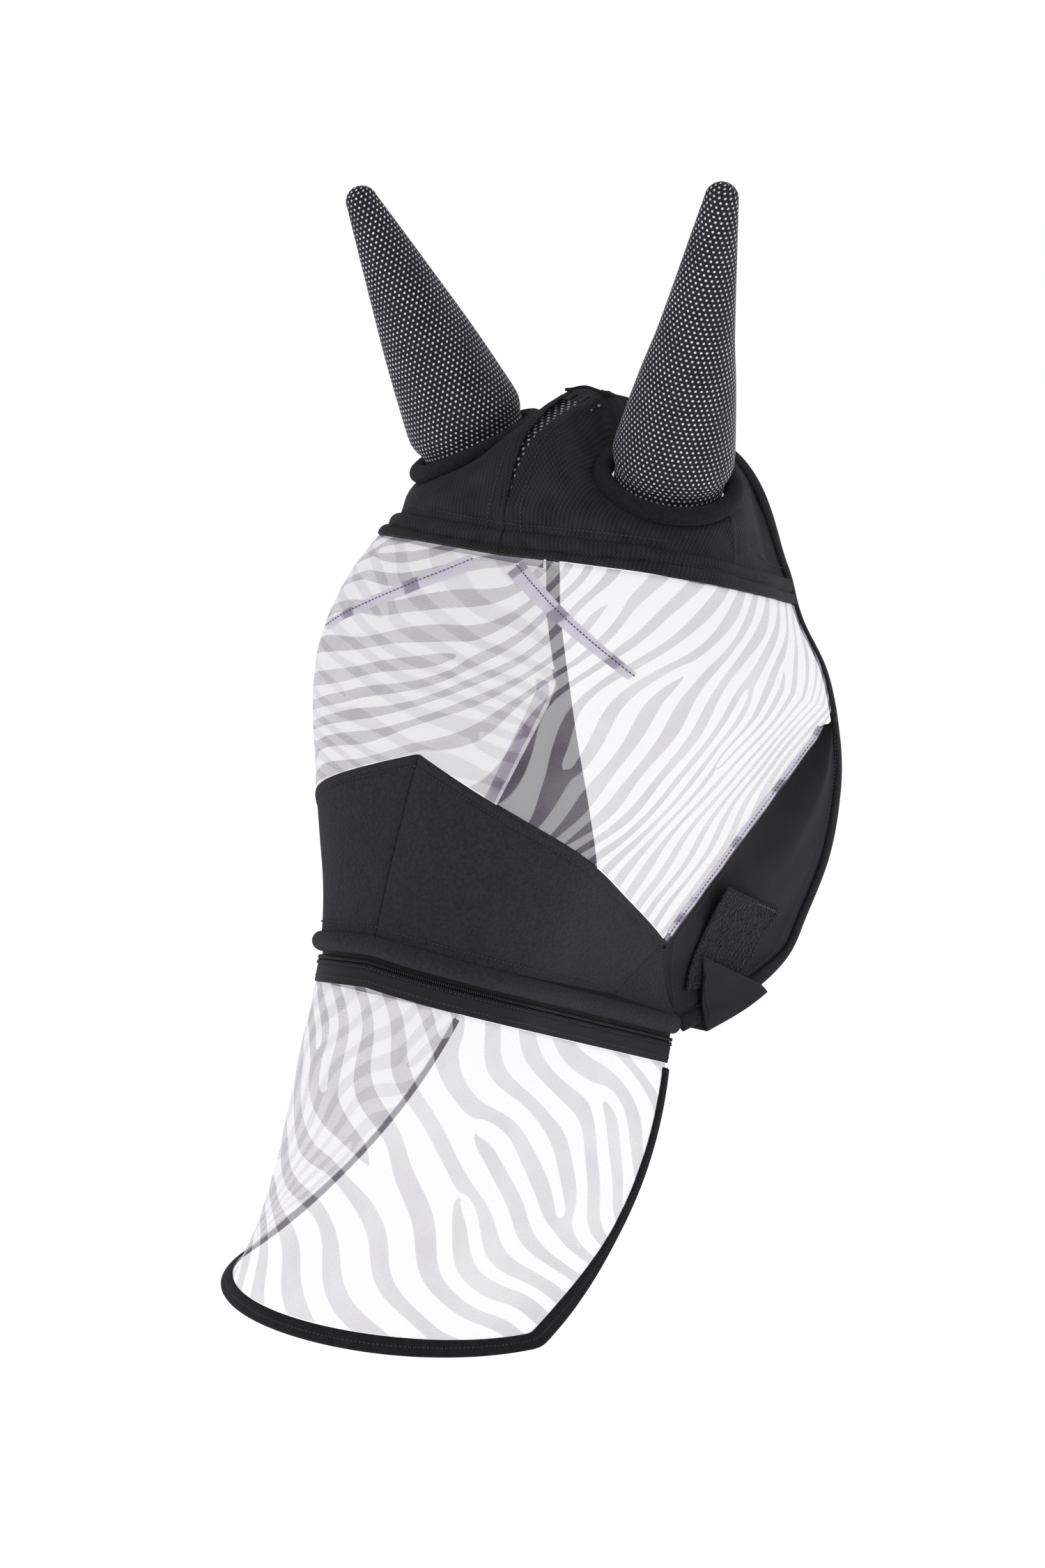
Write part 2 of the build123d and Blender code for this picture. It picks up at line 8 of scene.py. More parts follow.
# %% Load the working model
from math import cos, pi, radians, sin
import bmesh
import bpy
import numpy as np
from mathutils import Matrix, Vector


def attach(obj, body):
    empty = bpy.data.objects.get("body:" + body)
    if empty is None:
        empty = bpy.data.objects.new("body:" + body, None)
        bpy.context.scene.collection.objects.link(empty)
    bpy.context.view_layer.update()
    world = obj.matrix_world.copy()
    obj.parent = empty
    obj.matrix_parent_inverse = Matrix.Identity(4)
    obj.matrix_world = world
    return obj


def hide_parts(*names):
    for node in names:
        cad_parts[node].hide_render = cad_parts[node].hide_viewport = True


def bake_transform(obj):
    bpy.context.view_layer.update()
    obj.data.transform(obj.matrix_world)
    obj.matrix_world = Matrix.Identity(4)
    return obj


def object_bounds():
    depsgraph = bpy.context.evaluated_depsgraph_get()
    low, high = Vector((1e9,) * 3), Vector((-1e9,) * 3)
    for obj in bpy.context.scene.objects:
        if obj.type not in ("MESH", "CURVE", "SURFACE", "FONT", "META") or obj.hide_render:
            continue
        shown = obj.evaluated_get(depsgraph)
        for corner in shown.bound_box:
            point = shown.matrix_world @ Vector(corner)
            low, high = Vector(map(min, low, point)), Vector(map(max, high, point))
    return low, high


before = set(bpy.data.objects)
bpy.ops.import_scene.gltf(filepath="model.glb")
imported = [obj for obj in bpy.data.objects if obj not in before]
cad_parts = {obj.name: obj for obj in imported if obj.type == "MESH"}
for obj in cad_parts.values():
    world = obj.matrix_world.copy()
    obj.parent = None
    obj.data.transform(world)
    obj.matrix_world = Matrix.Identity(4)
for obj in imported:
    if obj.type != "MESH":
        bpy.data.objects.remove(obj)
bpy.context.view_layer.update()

# %% [markdown]
# ## The head under the cloth
# Cloth on a head is easiest to lay out on the head itself: across to the horse's left, down the
# face, and back from the face line, all in millimetres. A few sections say how wide and deep the
# head is at each height. They could be modelled by hand as a sculpt, but a rule keeps every panel
# on the same form, so that their edges meet at the seams.

# %% Sizes of the head form, in millimetres
HEAD_TILT = radians(18)         # a horse carries its head with the nose out
# down, front, half width, widest place, squareness, half width and place of the rear edge
HEAD_SECTIONS = [
    (100, -79, 120, 10, 2.6, 100, 132), (128, -78, 142, 5, 3.0, 104, 150),
    (160, -92, 155, 0, 3.0, 115, 179), (205, -108, 158, -10, 3.0, 118, 209),
    (240, -119, 149, -20, 2.8, 116, 227), (288, -131, 128, -30, 2.6, 107, 245),
    (336, -136, 106, -40, 2.4, 93, 252), (369, -138, 94, -45, 2.2, 86, 247),
    (400, -139, 84, -55, 2.1, 92, 190), (430, -139, 78, -62, 2.0, 98, 103),
]
GAP = 0.5                       # room left in each seam
BINDING_WIDTH = 11
BROW_DOWN, BROW_RISE, BROW_HEM = 129, 9, 17
SLIT_HALF_WIDTH, CROWN_SPLIT = 12, 0.62
NOSE_PEAK_DOWN, NOSE_END_DOWN = 270, 393
HEM_DROP, HEM_END_BACK, HEM_LEVEL, HEM_ROLL = 24, 103, 415, 6.5
NOSE_SEAM, SEAM_TOP, SEAM_FOOT = (406, 20), (187, 201), (366.5, 69.4)
SEAM_TOP_SHARE = 0.3
FLAP_TOP, FLAP_DOWN, FLAP_FRONT, FLAP_RADIUS = 34, 656, -145, 132
FLAP_FOOT, FLAP_BULGE = (126, 636, -52), (115, 558, 80)
EAR_BASE = {"left": (80, 59, -13), "right": (80, 52, -17)}
EAR_TIP = {"left": (150, -124, -119), "right": (150, -104, -115)}
EAR_RING, EAR_ROLL, EAR_TIP_RADIUS = 45, 6.5, 11
EAR_PROFILE = [(0, 37.4), (8, 37.4), (14, 40), (22, 41.5), (45, 38.5), (80, 32.5), (115, 25.5)]
print(len(HEAD_SECTIONS), "sections")

# %% Small helpers for points

def between(a, b, share):
    """Point or number part of the way from a to b."""
    return np.asarray(a, float) + (np.asarray(b, float) - np.asarray(a, float)) * share


def ease(share):
    share = np.clip(share, 0, 1)
    return share * share * (3 - 2 * share)


def point(across, down, back):
    """Head-frame points from their three parts, which may be arrays."""
    return np.stack(np.broadcast_arrays(across, down, back), -1).astype(float)


def to_row(points):
    """Head frame in millimetres to the model's own frame in metres."""
    across, down, back = points[..., 0], points[..., 1], points[..., 2]
    y = back * cos(HEAD_TILT) - down * sin(HEAD_TILT)
    z = -down * cos(HEAD_TILT) - back * sin(HEAD_TILT)
    return np.stack([across, y, z], -1) / 1000


def smooth(where, stations):
    """Value at where on a smooth curve through (where, value) stations."""
    at = np.array([s[0] for s in stations], float)
    value = np.array([s[1] for s in stations], float)
    where = np.asarray(where, float)
    last = len(at) - 1
    slope = np.array([(value[min(k + 1, last)] - value[max(k - 1, 0)])
                      / (at[min(k + 1, last)] - at[max(k - 1, 0)]) for k in range(last + 1)])
    i = np.clip(np.searchsorted(at, where, side="right") - 1, 0, last - 1)
    step = at[i + 1] - at[i]
    f = (where - at[i]) / step
    if value.ndim > 1:
        f, step = f[..., None], step[..., None]
    bend = (f ** 3 - 2 * f ** 2 + f) * slope[i] + (f ** 3 - f ** 2) * slope[i + 1]
    return value[i] + (value[i + 1] - value[i]) * (3 * f ** 2 - 2 * f ** 3) + step * bend


print("the middle of one metre is", between(0, 1, 0.5))

# %% Walk round each section at equal steps of length
LEVELS = np.linspace(96, 434, 339)
STEPS = 480


def section(down):
    """Across and back along one section, at equal steps, and the length of the whole section."""
    front, half, widest, square, rear_half, rear = [
        float(smooth(down, [(row[0], row[k]) for row in HEAD_SECTIONS])) for k in range(1, 7)]
    turn = np.linspace(0, pi / 2, 161)
    f = np.linspace(0, 1, 121)[1:]
    flat_cos = np.clip(np.cos(turn), 0, 1)
    across = np.concatenate([half * np.sin(turn) ** (2 / square),
                             half + (rear_half - half) * (1.5 * f * f - 0.5 * f ** 3)])
    back = np.concatenate([widest - (widest - front) * flat_cos ** (2 / square),
                           widest + (rear - widest) * f])
    run = np.concatenate([[0], np.cumsum(np.hypot(np.diff(across), np.diff(back)))])
    even = np.linspace(0, run[-1], STEPS + 1)
    return np.interp(even, run, across), np.interp(even, run, back), run[-1]


walked = [section(down) for down in LEVELS]
FORM = np.array([np.stack(row[:2], -1) for row in walked])
GIRTH = np.array([row[2] for row in walked])
print("half girth at the brow", round(float(np.interp(BROW_DOWN, LEVELS, GIRTH))), "mm")


def on_head(down, share):
    """Point at a share of the way round from the face line to the rear edge."""
    down, share = np.broadcast_arrays(np.asarray(down, float), np.asarray(share, float))
    row = np.clip((down - LEVELS[0]) / (LEVELS[1] - LEVELS[0]), 0, len(LEVELS) - 1.001)
    column = np.clip(share, 0, 1) * STEPS
    i, j = row.astype(int), np.minimum(column.astype(int), STEPS - 1)
    f, g = (row - i)[..., None], (column - j)[..., None]
    top = FORM[i, j] * (1 - g) + FORM[i, j + 1] * g
    low = FORM[i + 1, j] * (1 - g) + FORM[i + 1, j + 1] * g
    flat = top * (1 - f) + low * f
    return point(flat[..., 0], down, flat[..., 1])


def share_at(down, back):
    """Share of the way round at which the head reaches a given place back."""
    down, back = np.broadcast_arrays(np.asarray(down, float), np.asarray(back, float))
    low, high = np.zeros(down.shape), np.ones(down.shape)
    for _ in range(26):
        middle = (low + high) / 2
        ahead = on_head(down, middle)[..., 2] < back
        low, high = np.where(ahead, middle, low), np.where(ahead, high, middle)
    return low


def inset_share(down, inset):
    """Share that stops short of the rear edge by inset, measured square to that edge."""
    rear = np.interp([np.asarray(down) - 2, np.asarray(down) + 2], LEVELS, FORM[:, -1, 1])
    slope = (rear[1] - rear[0]) / 4
    return 1 - inset * np.hypot(1, slope) / np.interp(down, LEVELS, GIRTH)


# %% [markdown]
# ## The lines that the panels are cut to
# Each panel is a rule from two shares, along and down, to a point on the head. The crown is
# stretched between its four edges, as knit cloth is, and everything else lies on the form.

# %% Crown, brow and poll
EDGE_ROOM = BINDING_WIDTH + 4 * GAP


def brow_line(share):
    return BROW_DOWN - BROW_RISE * np.asarray(share, float)


def brow_hem(share, v):
    down = brow_line(share) - BROW_HEM * (1 - v)
    return on_head(down, share * inset_share(down, EDGE_ROOM))


def crown_foot(share):
    down = brow_line(share) - BROW_HEM - GAP
    return on_head(down, share * inset_share(down, EDGE_ROOM))


def crown_ridge(rise):
    stations = [(0, crown_foot(0)), (0.2, (0.3, 93, -82)), (0.55, (4, 45, -68)),
                (1, (SLIT_HALF_WIDTH, 2, -10))]
    return smooth(rise, stations)


def crown_nape(rise):
    return smooth(rise, [(0, crown_foot(1)), (0.6, (84, 31, 54)), (1, (13, 3, 10))])


def crown(share, rise):
    share, rise = np.broadcast_arrays(share, rise)
    s, r = share[..., None], rise[..., None]
    high = between(crown_ridge(1), crown_nape(1), s)
    low_plain = between(crown_ridge(0), crown_nape(0), s)
    edges = between(crown_foot(share), high, r) + between(crown_ridge(rise), crown_nape(rise), s)
    return edges - between(low_plain, high, r)


print("crown foot ends at", np.round(crown_foot(1)))

# %% Mesh over the eyes, nose, cheeks


def seam_point(fall, offset=0.0):
    """Straight seam between the face mesh and the cheek panel."""
    top = on_head(SEAM_TOP[0], share_at(*SEAM_TOP))
    foot = on_head(SEAM_FOOT[0], share_at(*SEAM_FOOT))
    return between(top, foot, np.asarray(fall, float)[..., None]) + np.array([0, 0, offset])


def mesh_rear(fall):
    fall = np.asarray(fall, float)
    down = between(brow_line(1) + GAP, SEAM_TOP[0], np.clip(fall / SEAM_TOP_SHARE, 0, 1))
    upper = on_head(down, inset_share(down, EDGE_ROOM))
    run = np.clip((fall - SEAM_TOP_SHARE) / (1 - SEAM_TOP_SHARE), 0, 1)
    step = on_head(SEAM_TOP[0], inset_share(SEAM_TOP[0], EDGE_ROOM)) - seam_point(0.0, -GAP)
    lower = seam_point(run, -GAP) + step * np.clip(1 - run * 8, 0, 1)[..., None]
    return np.where((fall < SEAM_TOP_SHARE)[..., None], upper, lower)


def face_mesh(share, fall):
    share, fall = np.broadcast_arrays(share, fall)
    rear = mesh_rear(fall)
    rear_share = share_at(rear[..., 1], rear[..., 2])
    down = between(between(BROW_DOWN + GAP, NOSE_PEAK_DOWN - GAP, fall), rear[..., 1], share)
    shift = rear - on_head(rear[..., 1], rear_share)
    return on_head(down, share * rear_share) + shift * ease((share - 0.5) / 0.5)[..., None]


def nose_rear(fall, offset=0.0):
    down = between(SEAM_FOOT[0] + 2 * GAP, NOSE_SEAM[0], fall)
    return down, share_at(down, between(SEAM_FOOT[1], NOSE_SEAM[1], fall) + offset)


def nose(share, fall):
    down_rear, share_rear = nose_rear(fall)
    down = between(between(NOSE_PEAK_DOWN + GAP, NOSE_END_DOWN, fall), down_rear, share)
    return on_head(down, between(0.001, share_rear, share))


def gusset(share, fall):
    """Fleece wedge behind the nose panel, down to the rear end of the hem."""
    drop = between(0.12, 0.97, fall)
    down_front, share_front = nose_rear(drop, GAP)
    down_rear = between(SEAM_FOOT[0] + 4, NOSE_END_DOWN + HEM_DROP, drop)
    share_rear = share_at(down_rear, between(SEAM_FOOT[1], HEM_END_BACK - 2, drop))
    return on_head(between(down_front, down_rear, share), between(share_front, share_rear, share))


def hem(share, below):
    """Line round the nose, a given distance below the nose panel's lower edge."""
    down = NOSE_END_DOWN + HEM_DROP * np.asarray(share, float) + below
    level = np.minimum(down, HEM_LEVEL)
    flat = on_head(level, share * share_at(level, HEM_END_BACK))
    return point(flat[..., 0], down, flat[..., 2])


def cheek_front(fall):
    """Front edge of the cheek panel: the seam first, then the rear of the fleece wedge."""
    fall, turn = np.asarray(fall, float), 0.72
    run = np.clip((fall - turn) / (1 - turn), 0, 1)
    down = between(SEAM_FOOT[0], NOSE_END_DOWN + HEM_DROP, run)
    back = between(SEAM_FOOT[1] + 2 * GAP, HEM_END_BACK, run)
    along = on_head(down, share_at(down, back + 4 * GAP * run))
    start = on_head(SEAM_FOOT[0], share_at(SEAM_FOOT[0], SEAM_FOOT[1] + 2 * GAP))
    lower = along + (seam_point(1.0, 2 * GAP) - start) * (1 - run)[..., None]
    return np.where((fall < turn)[..., None], seam_point(fall / turn, 2 * GAP), lower)


def cheek(share, fall):
    share, fall = np.broadcast_arrays(share, fall)
    drop = between(0.07, 0.95, fall)
    front = cheek_front(drop)
    rear_down = between(SEAM_TOP[0] + 2, NOSE_END_DOWN + HEM_DROP + 4, drop)
    rear_share = inset_share(rear_down, BINDING_WIDTH + GAP)
    front_share = share_at(front[..., 1], front[..., 2])
    flat = on_head(between(front[..., 1], rear_down, share),
                   between(front_share, rear_share, share))
    shift = front - on_head(front[..., 1], front_share)
    return flat + shift * (1 - ease(share / 0.6))[..., None]


print("cheek seam runs down to", np.round(seam_point(1.0)))

# %% The zip-off flap


def flap_foot(share):
    turn = np.asarray(share, float) * np.arcsin(FLAP_FOOT[0] / FLAP_RADIUS)
    return point(FLAP_RADIUS * np.sin(turn), between(FLAP_DOWN, FLAP_FOOT[1], share ** 2),
                 FLAP_FRONT + FLAP_RADIUS * (1 - np.cos(turn)))


def flap(share, fall):
    share, fall = np.broadcast_arrays(np.asarray(share, float), np.asarray(fall, float))
    f = fall[..., None]
    top, foot = hem(1.0, FLAP_TOP), flap_foot(1.0)
    edge = between(between(top, FLAP_BULGE, f), between(FLAP_BULGE, FLAP_FOOT, f), f)
    bow = edge - between(top, foot, f)
    return between(hem(share, FLAP_TOP), flap_foot(share), f) + bow * share[..., None] ** 3


def both_sides(half):
    """Whole surface from its left half; u runs from 0 on the right to 1 on the left."""
    def surface(u, v):
        side = 2 * u - 1
        whole = half(np.abs(side), v)
        whole[..., 0] *= np.where(side >= 0, 1, -1)
        return whole
    return surface


print("flap foot ends at", np.round(flap_foot(1.0)))

# %% [markdown]
# ## Making cloth from a rule
# A panel is a grid of points on its rule. Opaque cloth gets a second layer and a rim, so it is a
# closed thin solid. The sheer mesh stays one layer, because light passes it only once. Solidify
# could add the thickness, but writing both layers here keeps the cut round the ears clean.
# Each panel's UV map is in millimetres along the cloth, so a weave has its real scale.

# %% Grids, normals and meshes


def grid(surface, across, down, mirror=False):
    """Points on a rule, in metres, and the place of each along the cloth in millimetres."""
    u, v = np.meshgrid(np.linspace(0, 1, across), np.linspace(0, 1, down))
    head = surface(u, v)
    if mirror:
        head = head * [-1, 1, 1]
    return to_row(head)


def outward(points):
    """Unit normals of a grid that point away from the middle of the head."""
    normal = np.cross(np.gradient(points, axis=1), np.gradient(points, axis=0))
    normal /= np.maximum(np.linalg.norm(normal, axis=-1, keepdims=True), 1e-12)
    middle = to_row(np.array([0, max(120, -points[..., 2].mean() * 1000), 45.0]))
    away = ((points - middle) * normal).sum()
    return (normal, 1) if away > 0 else (-normal, -1)


def cloth_place(points):
    """Millimetres along the rows and down the columns of a grid."""
    rows = np.linalg.norm(np.diff(points, axis=1), axis=-1)
    columns = np.linalg.norm(np.diff(points, axis=0), axis=-1)
    u = np.concatenate([np.zeros((points.shape[0], 1)), np.cumsum(rows, 1)], 1)
    v = np.concatenate([np.zeros((1, points.shape[1])), np.cumsum(columns, 0)], 0)
    return np.stack([u - u[:, u.shape[1] // 2][:, None], v], -1) * 1000


def make_mesh(name, corners, faces, uv, material, sharp=55):
    """Smooth mesh object at the origin, without the points that no face uses."""
    used, faces = np.unique(faces, return_inverse=True)
    faces = faces.reshape(-1, 4)
    mesh = bpy.data.meshes.new(name)
    mesh.from_pydata(corners[used].tolist(), [], [list(dict.fromkeys(f)) for f in faces.tolist()])
    mesh.uv_layers.new(name="Cloth")
    loops = np.zeros(len(mesh.loops), np.int32)
    mesh.loops.foreach_get("vertex_index", loops)
    mesh.uv_layers[0].data.foreach_set("uv", uv[used][loops].astype(np.float32).ravel())
    mesh.polygons.foreach_set("use_smooth", [True] * len(mesh.polygons))
    mesh.set_sharp_from_angle(angle=radians(sharp))
    mesh.materials.append(material)
    mesh.validate()
    piece = bpy.data.objects.new(name, mesh)
    bpy.context.scene.collection.objects.link(piece)
    return piece, used


def cloth(name, points, material, thick=1.2, lift=0.0, relief=None, keep=None, marks=None):
    """Panel from a grid of points in metres; thick and lift are in millimetres. relief gives the
    height of its folds at each place on the cloth."""
    rows, columns = points.shape[:2]
    normal, turn = outward(points)
    place = cloth_place(points)
    raised = np.zeros((rows, columns)) if relief is None else relief(place)
    outer = points + normal * ((lift + raised)[..., None] / 1000)
    index = np.arange(rows * columns).reshape(rows, columns)
    quads = np.stack([index[:-1, :-1], index[:-1, 1:], index[1:, 1:], index[1:, :-1]], -1)
    quads = quads.reshape(-1, 4)
    quads = quads if keep is None else quads[keep]
    if turn < 0:
        quads = quads[:, ::-1]
    corners, uv, faces = outer.reshape(-1, 3), place.reshape(-1, 2), quads
    if thick:
        count = rows * columns
        inner = outer - normal * (thick / 1000)
        edges = np.concatenate([quads[:, [k, (k + 1) % 4]] for k in range(4)])
        lone = ~np.isin(edges[:, 0] * count + edges[:, 1], edges[:, 1] * count + edges[:, 0])
        a, b = edges[lone].T
        rim = np.stack([b, a, a + count, b + count], -1)
        corners = np.concatenate([corners, inner.reshape(-1, 3)])
        uv = np.concatenate([uv, uv])
        faces = np.concatenate([quads, quads[:, ::-1] + count, rim])
    piece, used = make_mesh(name, corners, faces, uv, material)
    for mark, values in (marks or {}).items():
        values = np.concatenate([values.ravel()] * (2 if thick else 1))[used]
        piece.data.attributes.new(mark, "FLOAT", "POINT")
        piece.data.attributes[mark].data.foreach_set("value", values.astype(np.float32))
    return piece


def roll(name, path, rise, half_width, half_thick, material, sides=14, closed=False, square=1.0):
    """Soft roll or binding along a path in metres; half sizes in millimetres."""
    count = len(path)
    half_width = np.broadcast_to(half_width, count)[:, None] / 1000
    half_thick = np.broadcast_to(half_thick, count)[:, None] / 1000
    if closed:
        along = np.roll(path, -1, 0) - np.roll(path, 1, 0)
    else:
        along = np.gradient(path, axis=0)
    along = along / np.linalg.norm(along, axis=1, keepdims=True)
    side = np.cross(along, rise)
    side /= np.linalg.norm(side, axis=1, keepdims=True)
    up = np.cross(side, along)
    turn = np.linspace(0, 2 * pi, sides, endpoint=False)
    wide = np.sign(np.cos(turn)) * np.abs(np.cos(turn)) ** square
    high = np.sign(np.sin(turn)) * np.abs(np.sin(turn)) ** square
    rings = (path[:, None] + side[:, None] * (half_width * wide)[..., None]
             + up[:, None] * (half_thick * high)[..., None])
    run = np.concatenate([[0], np.cumsum(np.linalg.norm(np.diff(path, axis=0), axis=1))]) * 1000
    across = wide[None] * half_width * 1000 + 40 * (high[None] < 0)
    uv = np.stack([across, np.broadcast_to(run[:, None], across.shape)], -1)
    index = np.arange(count * sides).reshape(count, sides)
    ahead = np.roll(index, -1, 1)
    low, high_rows = (slice(None), np.roll(np.arange(count), -1)) if closed else (
        slice(0, count - 1), slice(1, count))
    faces = np.stack([index[low], ahead[low], ahead[high_rows], index[high_rows]], -1)
    faces = faces.reshape(-1, 4)
    corners, places = rings.reshape(-1, 3), uv.reshape(-1, 2)
    if not closed:
        total = len(corners)
        corners = np.concatenate([corners, path[[0, -1]]])
        places = np.concatenate([places, uv[[0, -1], 0]])
        start = np.stack([ahead[0], index[0], *[np.full(sides, total)] * 2], -1)
        end = np.stack([index[-1], ahead[-1], *[np.full(sides, total + 1)] * 2], -1)
        faces = np.concatenate([faces, start, end])
    piece, _ = make_mesh(name, corners, faces, places, material, sharp=70)
    return piece


def sew_on(piece, body, slot, *nodes):
    """The piece rides on its body and stands for the plain nodes. slot is not used."""
    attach(piece, body)
    if nodes:
        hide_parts(*nodes)
    return piece


def cut_size(points):
    """Width, length and area of a panel when it lies flat, in metres."""
    rows = np.linalg.norm(np.diff(points, axis=1), axis=-1).sum(1)
    columns = np.linalg.norm(np.diff(points, axis=0), axis=-1).sum(0)
    width, length = float(rows.max()), float(columns.max())
    a, b = np.diff(points, axis=1)[:-1], np.diff(points, axis=0)[:, :-1]
    area = float(np.linalg.norm(np.cross(a, b), axis=-1).sum())
    return (round(width, 3), round(length, 3)), area


# %% [markdown]
# ## Finishes
# Each cloth on the mask is a different make: knitted pique, pinhole net, short fleece, smooth
# jersey, sheer woven mesh, woven binding and herringbone tape. An image could hold each weave,
# but node patterns on the millimetre UV map stay sharp at any size. One function adds a node.

# %% The node helper and colours


def node(tree, kind, inputs=None, **settings):
    """Adds one node. inputs maps a socket's name or number to a value, to another node's
    output, or to another node, which stands for its first output."""
    made = tree.nodes.new(kind)
    for key, value in settings.items():
        setattr(made, key, value)
    for socket, value in (inputs or {}).items():
        if isinstance(value, bpy.types.Node):
            value = value.outputs[0]
        if isinstance(value, bpy.types.NodeSocket):
            tree.links.new(value, made.inputs[socket])
        else:
            made.inputs[socket].default_value = value
    return made


def colour(code):
    """sRGB hex to the linear colour that a shader takes."""
    parts = [int(code[k:k + 2], 16) / 255 for k in (1, 3, 5)]
    return [c / 12.92 if c <= 0.04045 else ((c + 0.055) / 1.055) ** 2.4 for c in parts] + [1]


def new_material(name):
    material = bpy.data.materials.new(name)
    material.use_nodes = True
    material.node_tree.nodes.clear()
    return material, material.node_tree


MATH, MIX, NOISE = "ShaderNodeMath", "ShaderNodeMix", "ShaderNodeTexNoise"
RANGE = "ShaderNodeMapRange"


def weave_place(tree):
    """The place on the cloth, and its two distances along the cloth, in millimetres."""
    uv = node(tree, "ShaderNodeUVMap", uv_map="Cloth").outputs[0]
    parts = node(tree, "ShaderNodeSeparateXYZ", {0: uv})
    return uv, parts.outputs[0], parts.outputs[1]


def finish_cloth(tree, base, rough, height, bump=0.3, deep=0.6, sheen=0.3, tint="#8A8A90",
                 mirror=0.12):
    """The shader of an opaque part: colour, roughness, raised weave and a soft sheen. Loose
    fibres mirror very little; a smooth part needs a higher mirror. deep is in millimetres."""
    raised = node(tree, "ShaderNodeBump", {"Strength": bump, "Distance": deep / 1000,
                                           "Height": height})
    shader = node(tree, "ShaderNodeBsdfPrincipled",
                  {"Base Color": base, "Roughness": rough, "Normal": raised})
    shader.inputs["Sheen Weight"].default_value = sheen
    shader.inputs["Sheen Roughness"].default_value = 0.45
    shader.inputs["Sheen Tint"].default_value = colour(tint)
    shader.inputs["Specular IOR Level"].default_value = mirror
    node(tree, "ShaderNodeOutputMaterial", {0: shader})


print("charcoal is", [round(c, 3) for c in colour("#36373B")])

# %% Knitted pique: black polyester, pressed into rows of small dimples
DIMPLE_ROW, DIMPLE_ALONG = 2.6, 3.2     # millimetres from dimple to dimple


def knitted_pique():
    # Double-knit polyester. The dimples catch light at their lower lips, so rows of paler dashes
    # run along the cloth, and every second row is shifted by half a step.
    material, tree = new_material("Knitted pique polyester, black")
    uv, u, v = weave_place(tree)
    row = node(tree, MATH, {0: v, 1: 2 * pi / DIMPLE_ROW}, operation="MULTIPLY")
    row = node(tree, MATH, {0: row}, operation="SINE")
    second = node(tree, MATH, {0: v, 1: pi / DIMPLE_ROW}, operation="MULTIPLY")
    second = node(tree, MATH, {0: second}, operation="SINE")
    second = node(tree, MATH, {0: second}, operation="SIGN")
    shift = node(tree, MATH, {0: second, 1: pi / 2}, operation="MULTIPLY")
    column = node(tree, MATH, {0: u, 1: 2 * pi / DIMPLE_ALONG, 2: shift},
                  operation="MULTIPLY_ADD")
    column = node(tree, MATH, {0: column}, operation="SINE")
    dimple = node(tree, MATH, {0: row, 1: column}, operation="MULTIPLY")
    cloud = node(tree, NOISE, {"Vector": uv, "Scale": 0.05, "Detail": 3.0})
    cloud = node(tree, MATH, {0: cloud, 1: 0.9}, operation="MULTIPLY")
    shade = node(tree, MATH, {0: dimple, 1: 0.32, 2: cloud}, operation="MULTIPLY_ADD")
    base = node(tree, MIX, {"Factor": shade, 6: colour("#121214"), 7: colour("#37373C")},
                data_type="RGBA").outputs[2]
    finish_cloth(tree, base, 0.72, dimple, bump=0.55, deep=0.5, sheen=0.08)
    return material


# %% Fleece and jersey


def short_fleece(name="Short polyester fleece, charcoal", low="#1A1A1E", high="#3C3C43"):
    # Brushed knit: mottled tufts a few millimetres wide, with single pale fibres standing up.
    material, tree = new_material(name)
    place = node(tree, "ShaderNodeTexCoord").outputs["Object"]
    tufts = node(tree, NOISE, {"Vector": place, "Scale": 420.0, "Detail": 5.0})
    clouds = node(tree, NOISE, {"Vector": place, "Scale": 60.0, "Detail": 2.0})
    fibres = node(tree, NOISE, {"Vector": place, "Scale": 1500.0, "Detail": 2.0})
    clouds = node(tree, MATH, {0: clouds, 1: 0.25}, operation="MULTIPLY")
    shade = node(tree, MATH, {0: tufts, 1: 0.8, 2: clouds}, operation="MULTIPLY_ADD")
    base = node(tree, MIX, {"Factor": shade, 6: colour(low), 7: colour(high)},
                data_type="RGBA").outputs[2]
    speck = node(tree, RANGE, {0: fibres, 1: 0.66, 2: 0.76})
    speck = node(tree, MATH, {0: speck, 1: 0.35}, operation="MULTIPLY")
    base = node(tree, MIX, {"Factor": speck, 6: base, 7: colour("#77777C")},
                data_type="RGBA").outputs[2]
    height = node(tree, MATH, {0: fibres, 1: 0.5, 2: tufts}, operation="MULTIPLY_ADD")
    finish_cloth(tree, base, 0.93, height, bump=1.0, deep=1.8, sheen=0.2)
    return material


def smooth_jersey():
    # Fine single knit, flat and matt, with faint ribs 1.2 mm apart, drawn wider than the real
    # 0.6 mm so that they show.
    material, tree = new_material("Smooth polyester jersey, black")
    uv, u, v = weave_place(tree)
    ribs = node(tree, MATH, {0: u, 1: 2 * pi / 1.2}, operation="MULTIPLY")
    ribs = node(tree, MATH, {0: ribs}, operation="SINE")
    clouds = node(tree, NOISE, {"Vector": uv, "Scale": 0.03, "Detail": 3.0})
    shade = node(tree, MATH, {0: ribs, 1: 0.08, 2: clouds}, operation="MULTIPLY_ADD")
    base = node(tree, MIX, {"Factor": shade, 6: colour("#1A1A1E"), 7: colour("#303036")},
                data_type="RGBA").outputs[2]
    finish_cloth(tree, base, 0.8, ribs, bump=0.2, deep=0.3, sheen=0.08)
    return material


# %% Woven binding and zip tape


